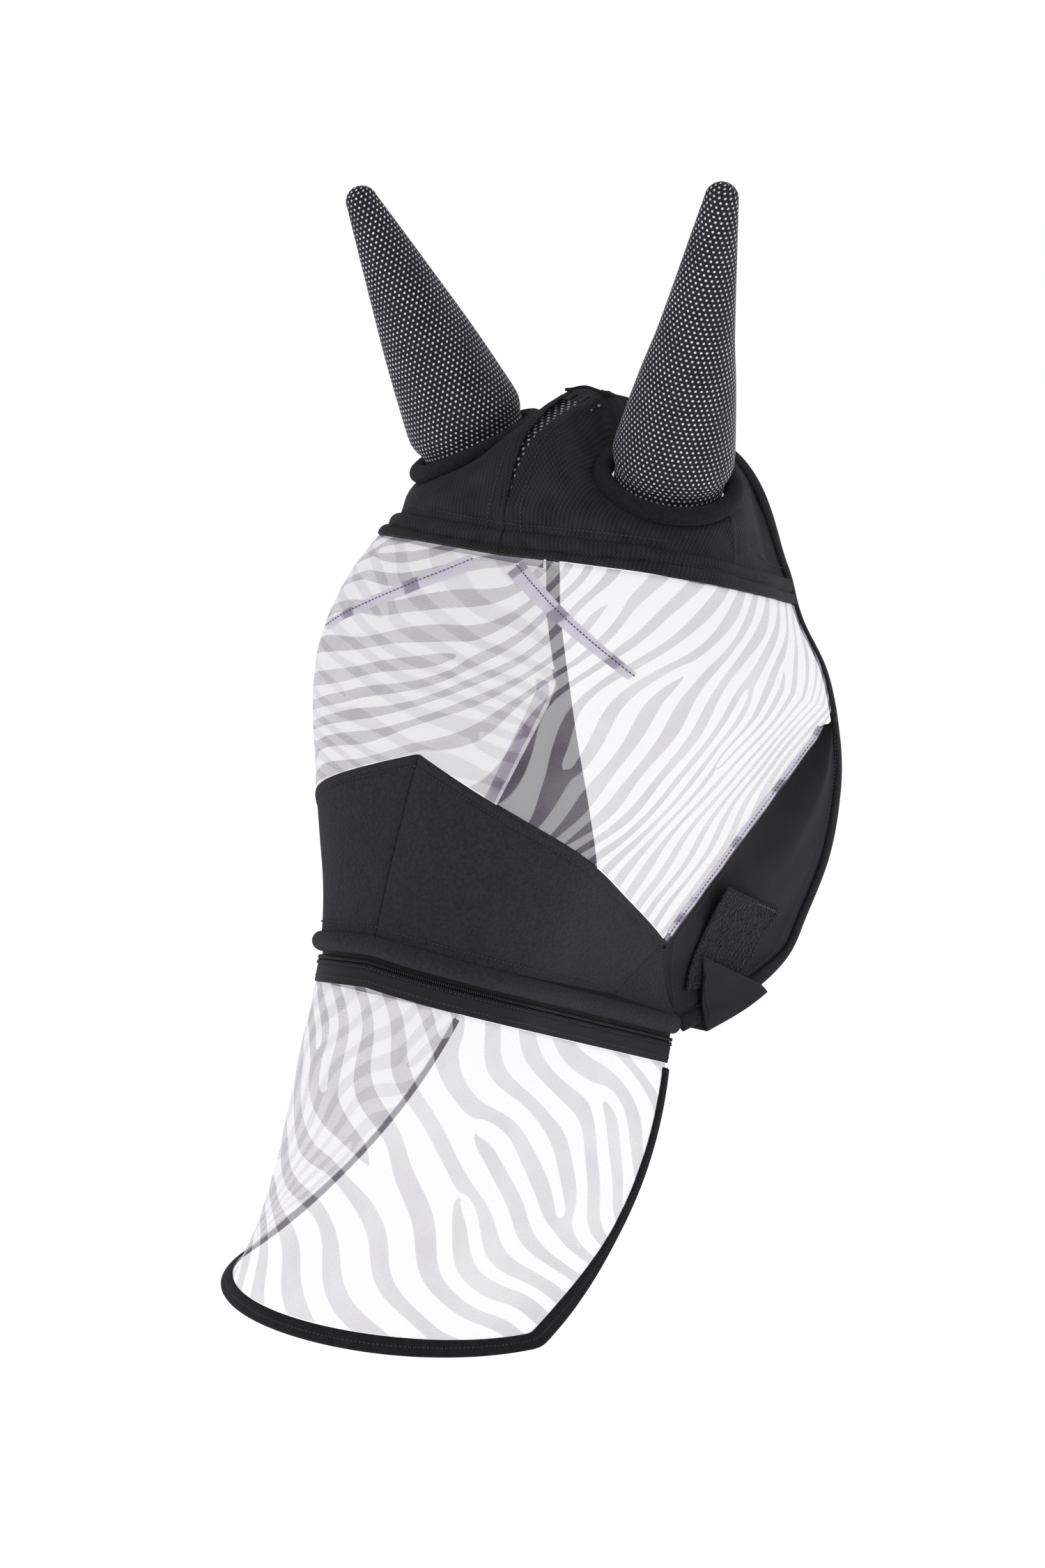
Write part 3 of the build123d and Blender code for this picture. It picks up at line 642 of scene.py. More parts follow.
def woven_binding():
    # Grosgrain tape folded over the edge: ribs across the tape, 1.6 mm apart.
    material, tree = new_material("Folded grosgrain binding, black")
    uv, u, v = weave_place(tree)
    ribs = node(tree, MATH, {0: v, 1: 2 * pi / 1.6}, operation="MULTIPLY")
    ribs = node(tree, MATH, {0: ribs}, operation="SINE")
    clouds = node(tree, NOISE, {"Vector": uv, "Scale": 0.2, "Detail": 3.0})
    shade = node(tree, MATH, {0: ribs, 1: 0.3, 2: clouds}, operation="MULTIPLY_ADD")
    base = node(tree, MIX, {"Factor": shade, 6: colour("#0E0E10"), 7: colour("#2A2A2F")},
                data_type="RGBA").outputs[2]
    finish_cloth(tree, base, 0.78, ribs, bump=0.45, deep=0.4, sheen=0.08)
    return material


def herringbone_tape():
    # Zip tape: a twill 1.5 mm apart whose slant turns back every 4 mm, so it reads as small
    # arrow heads.
    material, tree = new_material("Herringbone zip tape, black")
    uv, u, v = weave_place(tree)
    zigzag = node(tree, MATH, {0: v, 1: 4.0}, operation="PINGPONG")
    slant = node(tree, MATH, {0: u, 1: zigzag}, operation="ADD")
    slant = node(tree, MATH, {0: slant, 1: 2 * pi / 1.5}, operation="MULTIPLY")
    twill = node(tree, MATH, {0: slant}, operation="SINE")
    shade = node(tree, MATH, {0: twill, 1: 0.35, 2: 0.45}, operation="MULTIPLY_ADD")
    base = node(tree, MIX, {"Factor": shade, 6: colour("#101012"), 7: colour("#37373C")},
                data_type="RGBA").outputs[2]
    finish_cloth(tree, base, 0.7, twill, bump=0.4, deep=0.35, sheen=0.15)
    return material


# %% Nets: small pale holes in a black cloth
ROW_RISE = 0.82     # a net's rows are this share of its pitch apart


def pinhole_net(name, pitch, hole, pale, dark):
    # Warp-knit net. Daylight shows through each pinhole, so it is drawn as a pale dot on a black
    # ground. Rows are offset by half a pitch. Real pinholes are 3.5 mm apart; they are drawn
    # slightly wider apart so that each one shows.
    material, tree = new_material(name)
    uv, u, v = weave_place(tree)
    rise = pitch * ROW_RISE
    row = node(tree, MATH, {0: v, 1: rise}, operation="DIVIDE")
    row = node(tree, MATH, {0: row}, operation="FLOOR")
    odd = node(tree, MATH, {0: row, 1: 1.0}, operation="PINGPONG")
    shift = node(tree, MATH, {0: odd, 1: pitch / 2}, operation="MULTIPLY")
    across = node(tree, MATH, {0: u, 1: shift}, operation="ADD")
    across = node(tree, MATH, {0: across, 1: pitch}, operation="FLOORED_MODULO")
    across = node(tree, MATH, {0: across, 1: pitch / 2}, operation="SUBTRACT")
    up = node(tree, MATH, {0: v, 1: rise}, operation="FLOORED_MODULO")
    up = node(tree, MATH, {0: up, 1: rise / 2}, operation="SUBTRACT")
    across = node(tree, MATH, {0: across, 1: 2.0}, operation="POWER")
    up = node(tree, MATH, {0: up, 1: 2.0}, operation="POWER")
    reach = node(tree, MATH, {0: across, 1: up}, operation="ADD")
    reach = node(tree, MATH, {0: reach}, operation="SQRT")
    dot = node(tree, RANGE, {0: reach, 1: hole * 1.25, 2: hole * 0.7})
    cloud = node(tree, NOISE, {"Vector": uv, "Scale": 0.06, "Detail": 3.0})
    ground = node(tree, MIX, {"Factor": cloud, 6: colour(dark), 7: colour("#2E2D35")},
                  data_type="RGBA").outputs[2]
    patch = node(tree, NOISE, {"Vector": uv, "Scale": 0.045, "Detail": 3.0})
    strength = node(tree, RANGE, {0: patch, 1: 0.3, 2: 0.7, 3: 0.55, 4: 1.0})
    light = node(tree, MATH, {0: dot, 1: strength}, operation="MULTIPLY")
    base = node(tree, MIX, {"Factor": light, 6: ground, 7: colour(pale)},
                data_type="RGBA").outputs[2]
    height = node(tree, MATH, {0: dot, 1: -1.0}, operation="MULTIPLY")
    finish_cloth(tree, base, 0.62, height, bump=0.5, deep=0.5, sheen=0.15, tint="#A7A4B4")
    return material


# %% Sheer mesh, printed with zebra stripes
MESH_PITCH = 1.3    # the real 0.6 mm, drawn coarser so that it shows


def sheer_mesh(name, cover, thread, stripe_thread, edge=0.12):
    # Fine white monofilament mesh, more air than thread, so what lies behind shows through. The
    # print colours the threads. cover is the share of light that the threads stop.
    material, tree = new_material(name)
    uv, u, v = weave_place(tree)
    stripe = node(tree, "ShaderNodeAttribute", attribute_name="stripe").outputs["Fac"]
    # This attribute marks where the mesh lies double: it stops more light there, and it is also
    # tinted lavender there as painted fold shade.
    double_layer_and_shade = node(tree, "ShaderNodeAttribute", attribute_name="doubled_and_fold_shade").outputs["Fac"]
    printed = node(tree, RANGE, {0: stripe, 1: -edge, 2: edge}, interpolation_type="SMOOTHSTEP")
    cloud = node(tree, NOISE, {"Vector": uv, "Scale": 0.02, "Detail": 3.0})
    cloud = node(tree, RANGE, {0: cloud, 1: 0.35, 2: 0.65, 3: 0.72, 4: 1.0})
    printed = node(tree, MATH, {0: printed, 1: cloud}, operation="MULTIPLY")
    base = node(tree, MIX, {"Factor": printed, 6: colour(thread), 7: colour(stripe_thread)},
                data_type="RGBA").outputs[2]
    # Painted fold shade: the threads turn lavender where the mesh lies double.
    folded = node(tree, MATH, {0: double_layer_and_shade, 1: 0.3}, operation="MULTIPLY")
    base = node(tree, MIX, {"Factor": folded, 6: base, 7: colour("#D6D2E6")},
                data_type="RGBA").outputs[2]
    along = node(tree, MATH, {0: u, 1: 2 * pi / MESH_PITCH}, operation="MULTIPLY")
    along = node(tree, MATH, {0: along}, operation="SINE")
    down = node(tree, MATH, {0: v, 1: 2 * pi / MESH_PITCH}, operation="MULTIPLY")
    down = node(tree, MATH, {0: down}, operation="SINE")
    threads = node(tree, MATH, {0: along, 1: down}, operation="MAXIMUM")
    solid = node(tree, MATH, {0: threads, 1: 0.07, 2: cover}, operation="MULTIPLY_ADD")
    # A double layer really stops more light.
    solid = node(tree, MATH, {0: double_layer_and_shade, 1: 0.25, 2: solid}, operation="MULTIPLY_ADD")
    solid = node(tree, MATH, {0: solid, 1: 0.96}, operation="MINIMUM")
    thread_shader = node(tree, "ShaderNodeBsdfPrincipled", {"Base Color": base})
    thread_shader.inputs["Roughness"].default_value = 0.55
    thread_shader.inputs["IOR"].default_value = 1.46
    thread_shader.inputs["Sheen Weight"].default_value = 0.15
    glow = node(tree, "ShaderNodeBsdfTranslucent", {"Color": base})
    lit = node(tree, "ShaderNodeMixShader", {0: 0.45, 1: thread_shader, 2: glow})
    clear = node(tree, "ShaderNodeBsdfTransparent")
    shown = node(tree, "ShaderNodeMixShader", {0: solid, 1: clear, 2: lit})
    node(tree, "ShaderNodeOutputMaterial", {0: shown})
    return material


# %% Thread, coil, metal, and the two sides of the touch fastener


def spun_thread(name, code):
    # Twisted polyester sewing thread, a little glossier than the cloth it holds.
    material, tree = new_material(name)
    place = node(tree, "ShaderNodeTexCoord").outputs["Object"]
    twist = node(tree, NOISE, {"Vector": place, "Scale": 2500.0, "Detail": 1.0})
    base = node(tree, MIX, {"Factor": twist, 6: colour(code), 7: colour("#55545A")},
                data_type="RGBA").outputs[2]
    finish_cloth(tree, base, 0.55, twist, bump=0.3, deep=0.1, sheen=0.1)
    return material


def nylon_coil():
    # Moulded nylon filament: smooth, dark and faintly glossy.
    material, tree = new_material("Nylon zip coil, black")
    place = node(tree, "ShaderNodeTexCoord").outputs["Object"]
    wear = node(tree, NOISE, {"Vector": place, "Scale": 300.0, "Detail": 3.0})
    base = node(tree, MIX, {"Factor": wear, 6: colour("#151517"), 7: colour("#2C2C30")},
                data_type="RGBA").outputs[2]
    finish_cloth(tree, base, 0.42, wear, bump=0.1, deep=0.1, sheen=0.0, mirror=0.4)
    return material


def enamelled_zinc():
    # Die-cast zinc under black enamel: smooth gloss with a little orange peel.
    material, tree = new_material("Black enamel on die-cast zinc")
    place = node(tree, "ShaderNodeTexCoord").outputs["Object"]
    peel = node(tree, NOISE, {"Vector": place, "Scale": 900.0, "Detail": 1.0})
    base = node(tree, MIX, {"Factor": peel, 6: colour("#0F0F11"), 7: colour("#232326")},
                data_type="RGBA").outputs[2]
    rough = node(tree, MATH, {0: peel, 1: 0.2, 2: 0.2}, operation="MULTIPLY_ADD")
    finish_cloth(tree, base, rough, peel, bump=0.08, deep=0.1, sheen=0.0, mirror=0.5)
    return material


def touch_tape(name, scale, deep, pale):
    # Nylon fastener tape: a dense pile of loops, or rows of small hooks.
    material, tree = new_material(name)
    place = node(tree, "ShaderNodeTexCoord").outputs["Object"]
    cells = node(tree, "ShaderNodeTexVoronoi", {"Vector": place, "Scale": scale})
    clouds = node(tree, NOISE, {"Vector": place, "Scale": scale / 6, "Detail": 3.0})
    shade = node(tree, MATH, {0: cells, 1: clouds}, operation="MULTIPLY")
    base = node(tree, MIX, {"Factor": shade, 6: colour("#101012"), 7: colour(pale)},
                data_type="RGBA").outputs[2]
    finish_cloth(tree, base, 0.85, cells, bump=0.8, deep=deep, sheen=0.3)
    return material


PIQUE, FLEECE, JERSEY = knitted_pique(), short_fleece(), smooth_jersey()
RING_FLEECE = short_fleece("Fleece roll, black", "#131316", "#29292E")
BINDING, TAPE, COIL = woven_binding(), herringbone_tape(), nylon_coil()
EAR_NET = pinhole_net("Pinhole ear net, black", 4.0, 0.78, "#F4F3FA", "#121117")
POLL_NET = pinhole_net("Open poll net, black", 5.0, 1.0, "#D8D8DC", "#0D0D0F")
FACE_MESH = sheer_mesh("Sheer monofilament mesh, zebra print", 0.44, "#FBFAFF", "#81768A")
FLAP_MESH = sheer_mesh("Sheer monofilament mesh, pale zebra print", 0.44, "#FBFAFF", "#8F8797")
# Its lavender-white threads are painted fold shade on white mesh; its higher cover is the real
# double layer.
FOLDED_MESH = sheer_mesh("Sheer mesh folded double, with painted fold shade", 0.62, "#F6F3FB", "#A49BAE")
BLACK_THREAD = spun_thread("Polyester thread, black", "#0E0E10")
GREY_THREAD = spun_thread("Polyester thread, dark grey", "#3A3640")
PALE_THREAD = spun_thread("Polyester thread, grey", "#77777B")
ZINC = enamelled_zinc()
HOOKS = touch_tape("Nylon hook tape, black", 700.0, 1.0, "#3A3A3D")
LOOPS = touch_tape("Brushed loop tape, black", 450.0, 2.0, "#343438")
print(len(bpy.data.materials), "materials")

# %% [markdown]
# ## The zebra print
# A zebra's stripes run side by side like waves, bend together, and fork here and there. So the
# print is one wave whose direction changes over the cloth. A fork is a place that the wave winds
# round once. The result is kept on the mesh as an attribute, and the material reads it.

# %% Stripes from one bending wave


def zebra(place, lean, pitch, forks, seed, thin=0.1, snake=7.0):
    """Stripe height at each place: above zero is dark. place is in millimetres, and lean gives
    the stripes' angle above level at each distance across."""
    dice = np.random.default_rng(seed)
    x, y = place[..., 0], place[..., 1]
    y = y - y.mean()
    x = x + 3.0 * np.sin(y / 23 + 1.1) + 2.0 * np.sin(y / 11 + x / 40)
    y = y + 2.5 * np.sin(x / 31 + 0.7) + 1.5 * np.sin(x / 13 + y / 30)
    steps = np.linspace(x.min(), x.max(), 600)
    run = np.cumsum(np.sin(lean(steps))) * (steps[1] - steps[0])
    angle = lean(x)
    wave = y * np.cos(angle) + np.interp(x, steps, run) + snake * np.sin(y / 24 + x / 55)
    phase = 2 * pi * wave / pitch
    taper = np.zeros(x.shape)
    for k in range(forks):
        px = dice.uniform(x.min(), x.max())
        py = dice.uniform(y.min(), y.max()) * 0.85
        phase = phase + (-1) ** k * np.arctan2(y - py, x - px)
        taper += np.exp(-((x - px) ** 2 + (y - py) ** 2) / (0.45 * pitch) ** 2)
    wander = 0.22 * np.sin(x / 37 + 1.3 * np.sin(y / 29)) + 0.15 * np.sin(y / 17 - x / 23)
    return np.cos(phase) - thin - wander - 0.5 * taper


def face_lean(x):
    """The print leans more upright towards the left cheek."""
    return radians(22) + radians(42) * ease((x - 5) / 90)


def flap_lean(x):
    return radians(-50) + radians(8) * np.sin(x / 60)


print("the print leans", np.round(face_lean(np.array([0, 150])), 2), "rad")

# %% [markdown]
# ## Face mesh
# One sheet of mesh runs from cheek to cheek under the brow. A cloth simulation could drape it,
# but it is sewn taut on all sides, so a few shallow folds that fade out before each seam are
# closer to the real one.

# %% Folds and the face mesh
ACROSS_FACE, DOWN_FACE = 341, 121


def fade(place, reach):
    """1 inside a panel, falling to 0 at its edges over a reach in millimetres."""
    x, y = place[..., 0], place[..., 1]
    side = np.minimum(x - x.min(1, keepdims=True), x.max(1, keepdims=True) - x)
    drop = np.minimum(y, y.max(0, keepdims=True) - y)
    return ease(side / reach) * ease(drop / reach)


def face_folds(place):
    """Soft folds that fall from the brow, a little different on each side."""
    x, y = place[..., 0], place[..., 1]
    lift = np.zeros(x.shape)
    for start, slant, width, height in [(118, -0.10, 7, 2.4), (150, -0.22, 10, -1.8),
                                        (205, -0.28, 8, 2.2), (-112, 0.12, 9, 2.0),
                                        (-168, 0.2, 10, -1.8), (60, 0.15, 12, 1.4),
                                        (-40, -0.2, 14, 1.2), (238, -0.35, 7, 1.6)]:
        middle = start + slant * y + 5 * np.sin(y / 31 + start)
        lift += height * np.exp(-((x - middle) / width) ** 2) * (1 - 0.5 * ease(y / 150))
    lift += 0.5 * np.sin(x / 19 + 2 * np.sin(y / 43)) * np.sin(y / 27)
    return lift * fade(place, 22)


face_points = grid(both_sides(lambda u, v: face_mesh(u * 1.012, v)), ACROSS_FACE, DOWN_FACE)
face_place = cloth_place(face_points)
# The top 5 mm, sewn under the brow hem, lies double: more opaque there, and tinted with painted
# shade.
face_marks = {"stripe": zebra(face_place, face_lean, 21.5, 26, 7, 0.18),
              "doubled_and_fold_shade": 1 - ease((face_place[..., 1]) / 5)}
face = cloth("mesh_over_eyes", face_points, FACE_MESH, thick=0, relief=face_folds,
             marks=face_marks)
sew_on(face, "mask", "zebra_mesh", "face_mesh")

# %% Eye darts and the raw seam allowance, both folded double


def strip_marks(points, seed):
    place = cloth_place(points)
    patch = np.sin(place[..., 1] / 9 + seed) + 0.5 * np.sin(place[..., 1] / 4.3 + 2 * seed)
    # The folded strip lies double all along: more opaque, and tinted with painted fold shade.
    return {"stripe": patch - 0.7 + 0 * place[..., 0], "doubled_and_fold_shade": np.full(patch.shape, 0.75)}


def eye_dart(u, v):
    width = between(10, 5, v)
    down = between(BROW_DOWN + 8, 196, v) + between(-width, width, u) / 2
    share = between(0.05, 0.3, v) - between(-width, width, u) / 800
    return on_head(down, share)


def mesh_seam(u, v):
    return face_mesh(between(0.965, 0.995, u), between(SEAM_TOP_SHARE + 0.05, 0.985, v))


def ruffle(place):
    """A raw strip waves a little where it isn't stitched down."""
    return 0.35 * np.sin(place[..., 1] / 5.1) * np.sin(place[..., 0] / 4 + 1)


dart_points = {}
for side, mirror in (("left", False), ("right", True)):
    for name, rule, lift in (("eye_dart", eye_dart, 1.2), ("mesh_seam", mesh_seam, 0.9)):
        points = grid(rule, 9, 90, mirror)
        strip = cloth(f"folded_{name}_{side}", points, FOLDED_MESH, thick=0.5, lift=lift + 1.0,
                      relief=ruffle, marks=strip_marks(points, 1 + mirror))
        sew_on(strip, "mask", "zebra_mesh", f"{name}_{side}")
        dart_points[name, side] = points

# %% [markdown]
# ## Crown and ears
# The crown is knit cloth pulled up to a fleece roll round each ear. The cloth is bent towards the
# roll near the hole, so that no gap shows. Each ear cover is a cone of net: a turned profile, with
# its pattern laid out along the cloth and one sewn seam at the back.

# %% The frame of each ear


def ear_frame(side):
    """Base, axis and length of one ear, in metres."""
    turn = np.array([1, 1, 1]) if side == "left" else np.array([-1, 1, 1])
    base = to_row(np.array(EAR_BASE[side], float)) * turn
    tip = to_row(np.array(EAR_TIP[side], float)) * turn
    length = float(np.linalg.norm(tip - base))
    return base, (tip - base) / length, length


def ear_sides(side):
    """Two directions square to the ear's axis; the first points forwards."""
    _, axis, _ = ear_frame(side)
    front = np.array([0, -1, 0]) - axis * -axis[1]
    front /= np.linalg.norm(front)
    return front, np.cross(axis, front)


def pull_to_ring(points, side, at_ridge=True, at_nape=True):
    """Bends the crown up or down to the roll round the ear, and marks what the hole removes.
    The crown's own edges stay where they are sewn."""
    x, y = cloth_place(points)[..., 0], cloth_place(points)[..., 1]
    hold = ease(y / 16)
    if at_ridge:
        hold = hold * ease((x - x.min(1, keepdims=True)) / 14)
    if at_nape:
        hold = hold * ease((x.max(1, keepdims=True) - x) / 14)
    base, axis, _ = ear_frame(side)
    rest = points - base
    height = rest @ axis
    flat = rest - height[..., None] * axis
    reach = np.linalg.norm(flat, axis=-1)
    edge, calm = (EAR_RING - 6.2) / 1000, (EAR_RING + 42) / 1000
    share = hold * (1 - ease((reach - edge) / (calm - edge)))
    level = np.where(np.abs(height) < 0.12, height * (1 - share) - 0.0045 * share, height)
    hole = (reach < edge) & (np.abs(height) < 0.12)
    grown = np.where(hole, edge / np.maximum(reach, 1e-6), 1)
    moved = base + flat * grown[..., None] + level[..., None] * axis
    corner = hole[:-1, :-1] & hole[:-1, 1:] & hole[1:, 1:] & hole[1:, :-1]
    return moved, ~corner.ravel()


print("left ear is", round(ear_frame("left")[2], 3), "m long")

# %% Crown panels and the folded brow hem


def crown_pull(place):
    """Faint drag lines in the knit, and a ridge where the panel is turned in at its seam."""
    x, y = place[..., 0], place[..., 1]
    drag = 0.45 * np.sin(x / 9 + 1.5 * np.sin(y / 24)) * ease((y - 5) / 20)
    turned = 1.1 * np.exp(-((x - x.min(1, keepdims=True) - 5) / 3) ** 2)
    return drag + turned


def folded_hem(place):
    """Two soft folds with a sunk stitch line between them."""
    share = place[..., 1] / place[..., 1].max()
    folds = 2.9 * np.abs(np.sin(2 * pi * np.clip(share, 0, 1) * 0.98)) ** 0.6
    return folds + 0.3 * np.sin(place[..., 0] / 11) - 0.8


crown_cuts = {"crown_front": (0.001, CROWN_SPLIT + 0.006),
              "crown_side": (CROWN_SPLIT - 0.006, 1.03)}
for side, mirror in (("left", False), ("right", True)):
    for name, (start, end) in crown_cuts.items():
        flat = grid(lambda u, v: crown(between(start, end, u), between(-0.03, 0.995, v)),
                    110, 112, mirror)
        points, keep = pull_to_ring(flat, side, name == "crown_front", name == "crown_side")
        panel = cloth(f"knit_{name}_{side}", points, PIQUE, relief=crown_pull, keep=keep,
                      lift=0.0 if name == "crown_front" else -0.9)
        sew_on(panel, "mask", "knit_black", f"{name}_{side}")
        flat_size, area = cut_size(flat)
    points = grid(lambda u, v: brow_hem(between(0.002, 1, u), v), 150, 24, mirror)
    folded = cloth(f"folded_brow_hem_{side}", points, PIQUE, thick=3, lift=1, relief=folded_hem)
    sew_on(folded, "mask", "knit_black", f"brow_hem_{side}")

# %% Fleece roll round each ear


def ear_ring_path(side, count=160):
    base, axis, _ = ear_frame(side)
    front, across = ear_sides(side)
    turn = np.linspace(0, 2 * pi, count, endpoint=False)
    radius = EAR_RING / 1000
    return base + radius * (np.cos(turn)[:, None] * front + np.sin(turn)[:, None] * across), turn


def soft_sizes(run, size, seed, change=0.05):
    """A radius that swells and thins a little along a stuffed roll."""
    return size * (1 + change * np.sin(run * 5 + seed) * np.sin(run * 3.1 + 2 * seed))


for side in ("left", "right"):
    path, turn = ear_ring_path(side)
    axis = ear_frame(side)[1]
    size = EAR_ROLL * (0.99 + 0.008 * np.sin(3 * turn + 1) + 0.006 * np.sin(7 * turn))
    ring = roll(f"fleece_roll_ear_{side}", path, np.broadcast_to(axis, path.shape), size, size,
                RING_FLEECE, sides=24, closed=True)
    sew_on(ring, "mask", "fleece_black", f"ear_ring_{side}")

# %% Net cone of each ear


def ear_profile(length, steps=150):
    """Height and radius along a cone, and then over its rounded tip, in millimetres."""
    tip = length * 1000 - EAR_TIP_RADIUS
    stations = [(-8, 36.9)] + EAR_PROFILE + [(tip, EAR_TIP_RADIUS)]
    height = np.linspace(-8, tip, steps)     # the foot is tucked into the roll
    turn = np.linspace(0, pi / 2, 14)[1:]
    radius = smooth(height, stations)
    return (np.concatenate([height, tip + EAR_TIP_RADIUS * np.sin(turn)]),
            np.concatenate([radius, EAR_TIP_RADIUS * np.clip(np.cos(turn), 0.004, 1)]))


def ear_cone(side):
    base, axis, length = ear_frame(side)
    front, across = ear_sides(side)
    height, radius = ear_profile(length)
    turn = np.linspace(-pi, pi, 161)
    soft = 1 + 0.012 * np.sin(2 * turn[None] + height[:, None] / 60) * ease(height / 40)[:, None]
    dent = 1 - 0.035 * np.exp(-((turn[None] + 0.25) / 0.35) ** 2) * ease(height / 60)[:, None]
    wide = (radius[:, None] * soft * dent)[..., None] / 1000
    ring = np.cos(turn)[None, :, None] * front + np.sin(turn)[None, :, None] * across
    points = base + axis * (height / 1000)[:, None, None] + wide * ring
    run = np.concatenate([[0], np.cumsum(np.hypot(np.diff(height), np.diff(radius)))])
    place = np.stack([turn[None] * radius[:, None], np.broadcast_to(run[:, None], soft.shape)], -1)
    return points, place, ring


def closed_cone(name, points, place, ring, thick, material):
    """Outer and inner cone, joined round the base and closed at the tip."""
    rows, columns = points.shape[:2]
    inner = points - ring * thick / 1000
    inner[-14:] = points[-14:] - np.array(ear_frame(name.split("_")[-1])[1]) * thick / 1000
    index = np.arange(rows * columns).reshape(rows, columns)
    index[:, -1] = index[:, 0]
    a, b, c, d = index[:-1, :-1], index[:-1, 1:], index[1:, 1:], index[1:, :-1]
    quads = np.stack([a, b, c, d], -1).reshape(-1, 4)
    count = rows * columns
    rim = np.stack([index[0, 1:], index[0, :-1], index[0, :-1] + count, index[0, 1:] + count], -1)
    faces = np.concatenate([quads, quads[:, ::-1] + count, rim])
    corners = np.concatenate([points.reshape(-1, 3), inner.reshape(-1, 3)])
    uv = np.concatenate([place.reshape(-1, 2)] * 2)
    piece, _ = make_mesh(name, corners, faces, uv, material, sharp=70)
    return piece


def turn_outwards(piece):
    """Recalculates the normals of a closed mesh, and closes its tip."""
    shell = bmesh.new()
    shell.from_mesh(piece.data)
    bmesh.ops.remove_doubles(shell, verts=shell.verts, dist=0.00008)
    bmesh.ops.recalc_face_normals(shell, faces=shell.faces)
    shell.to_mesh(piece.data)
    shell.free()


for side in ("left", "right"):
    points, place, ring = ear_cone(side)
    cover = closed_cone(f"net_ear_{side}", points, place, ring, 1.2, EAR_NET)
    turn_outwards(cover)
    sew_on(cover, f"ear_{side}", "ear_mesh_black", f"ear_cover_{side}")

# %% Poll band, poll net and the edge binding


def poll_band(u, v):
    half = SLIT_HALF_WIDTH + 5      # its sides are tucked under the crown
    return point(between(-half, half, u), 4.4 - 3.2 * np.sin(pi * u) ** 2, between(-14, 10, v))


def poll_net(u, v):
    rise = between(0.12, 0.93, v)
    edge = crown_ridge(rise)
    half = edge[..., 0] + 8
    return point(between(-half, half, u), edge[..., 1] + 4.1, edge[..., 2] + 1.5)


band_points = grid(poll_band, 24, 24)
band = cloth("binding_over_poll", band_points, BINDING, thick=2)
sew_on(band, "mask", "binding_black", "poll_band")
net_points = grid(poll_net, 40, 80)
net = cloth("net_behind_forelock", net_points, POLL_NET, thick=1.0)
sew_on(net, "mask", "ear_mesh_black", "poll_net")


def rear_edge(start, end, count):
    """Middle line of the binding on the rear edge, and the way that it faces, head frame."""
    down = np.linspace(start, end, count)
    line = on_head(down, inset_share(down, BINDING_WIDTH / 2))
    ahead = on_head(down, inset_share(down, BINDING_WIDTH / 2 + 6))
    along = np.gradient(line, axis=0)
    rise = np.cross(line - ahead, along)
    rise *= np.sign(rise[:, :1])
    return line, rise / np.linalg.norm(rise, axis=1, keepdims=True)


def poll_edge():
    """Middle line from one cheek seam over the poll to the other."""
    line, rise = rear_edge(SEAM_TOP[0] + 1, float(brow_line(1)) - BROW_HEM - 4, 40)
    up = np.linspace(0.06, 1, 60)
    edge, inside = crown(np.ones(60), up), crown(np.full(60, 0.97), up)
    away = edge - inside
    away /= np.linalg.norm(away, axis=1, keepdims=True)
    side = np.gradient(edge, axis=0)
    face = np.cross(side, away)
    face *= np.sign((face * (edge - np.array([0, 150, 40]))).sum(1, keepdims=True))
    face /= np.linalg.norm(face, axis=1, keepdims=True)
    left = np.concatenate([line, edge + away * (BINDING_WIDTH / 2 + 4 * GAP)])
    faces = np.concatenate([rise, face])
    turn = np.array([-1, 1, 1])
    return np.concatenate([left, left[::-1] * turn]), np.concatenate([faces, faces[::-1] * turn])


def even_path(line, step, *others):
    """The same line at even steps, in millimetres, with anything else that follows it."""
    run = np.concatenate([[0], np.cumsum(np.linalg.norm(np.diff(line, axis=0), axis=1))])
    even = np.linspace(0, run[-1], max(int(run[-1] / step), 2) + 1)
    return [np.stack([np.interp(even, run, part[:, k]) for k in range(3)], -1)
            for part in (line, *others)]


def soften(line, passes=6):
    line = line.copy()
    for _ in range(passes):
        line[1:-1] = (line[:-2] + 2 * line[1:-1] + line[2:]) / 4
    return line


def turned(direction):
    """A direction from the head frame to the model's frame."""
    return to_row(direction) / np.linalg.norm(to_row(direction), axis=-1, keepdims=True)


line, rise = even_path(*[poll_edge()[0], 4.0, poll_edge()[1]])
line = soften(line)
width = np.full(len(line), BINDING_WIDTH / 2)
edge = roll("binding_poll", to_row(line), turned(rise), width, 2.2, BINDING, square=0.8)
sew_on(edge, "mask", "binding_black", "edge_binding_poll")
binding_lines = {}
for side, mirror in (("left", False), ("right", True)):
    line, rise = rear_edge(SEAM_TOP[0] - 1, NOSE_END_DOWN + HEM_DROP + 6, 120)
    turn = np.array([-1, 1, 1]) if mirror else np.array([1, 1, 1])
    line, rise = even_path(line * turn, 3.0, rise * turn)
    binding_lines[side] = line, rise
    edge = roll(f"binding_cheek_{side}", to_row(line), turned(rise), BINDING_WIDTH / 2, 2.2,
                BINDING, square=0.8)
    sew_on(edge, "mask", "binding_black", f"cheek_binding_{side}")

# %% [markdown]
# ## Nose, cheeks and the touch fastener
# The nose is two fleece panels with a turned top edge and a centre seam. The cheeks are smooth
# jersey. A strap under the jaw ends in a pointed leaf that sticks to a pad on the left cheek.

# %% Fleece nose


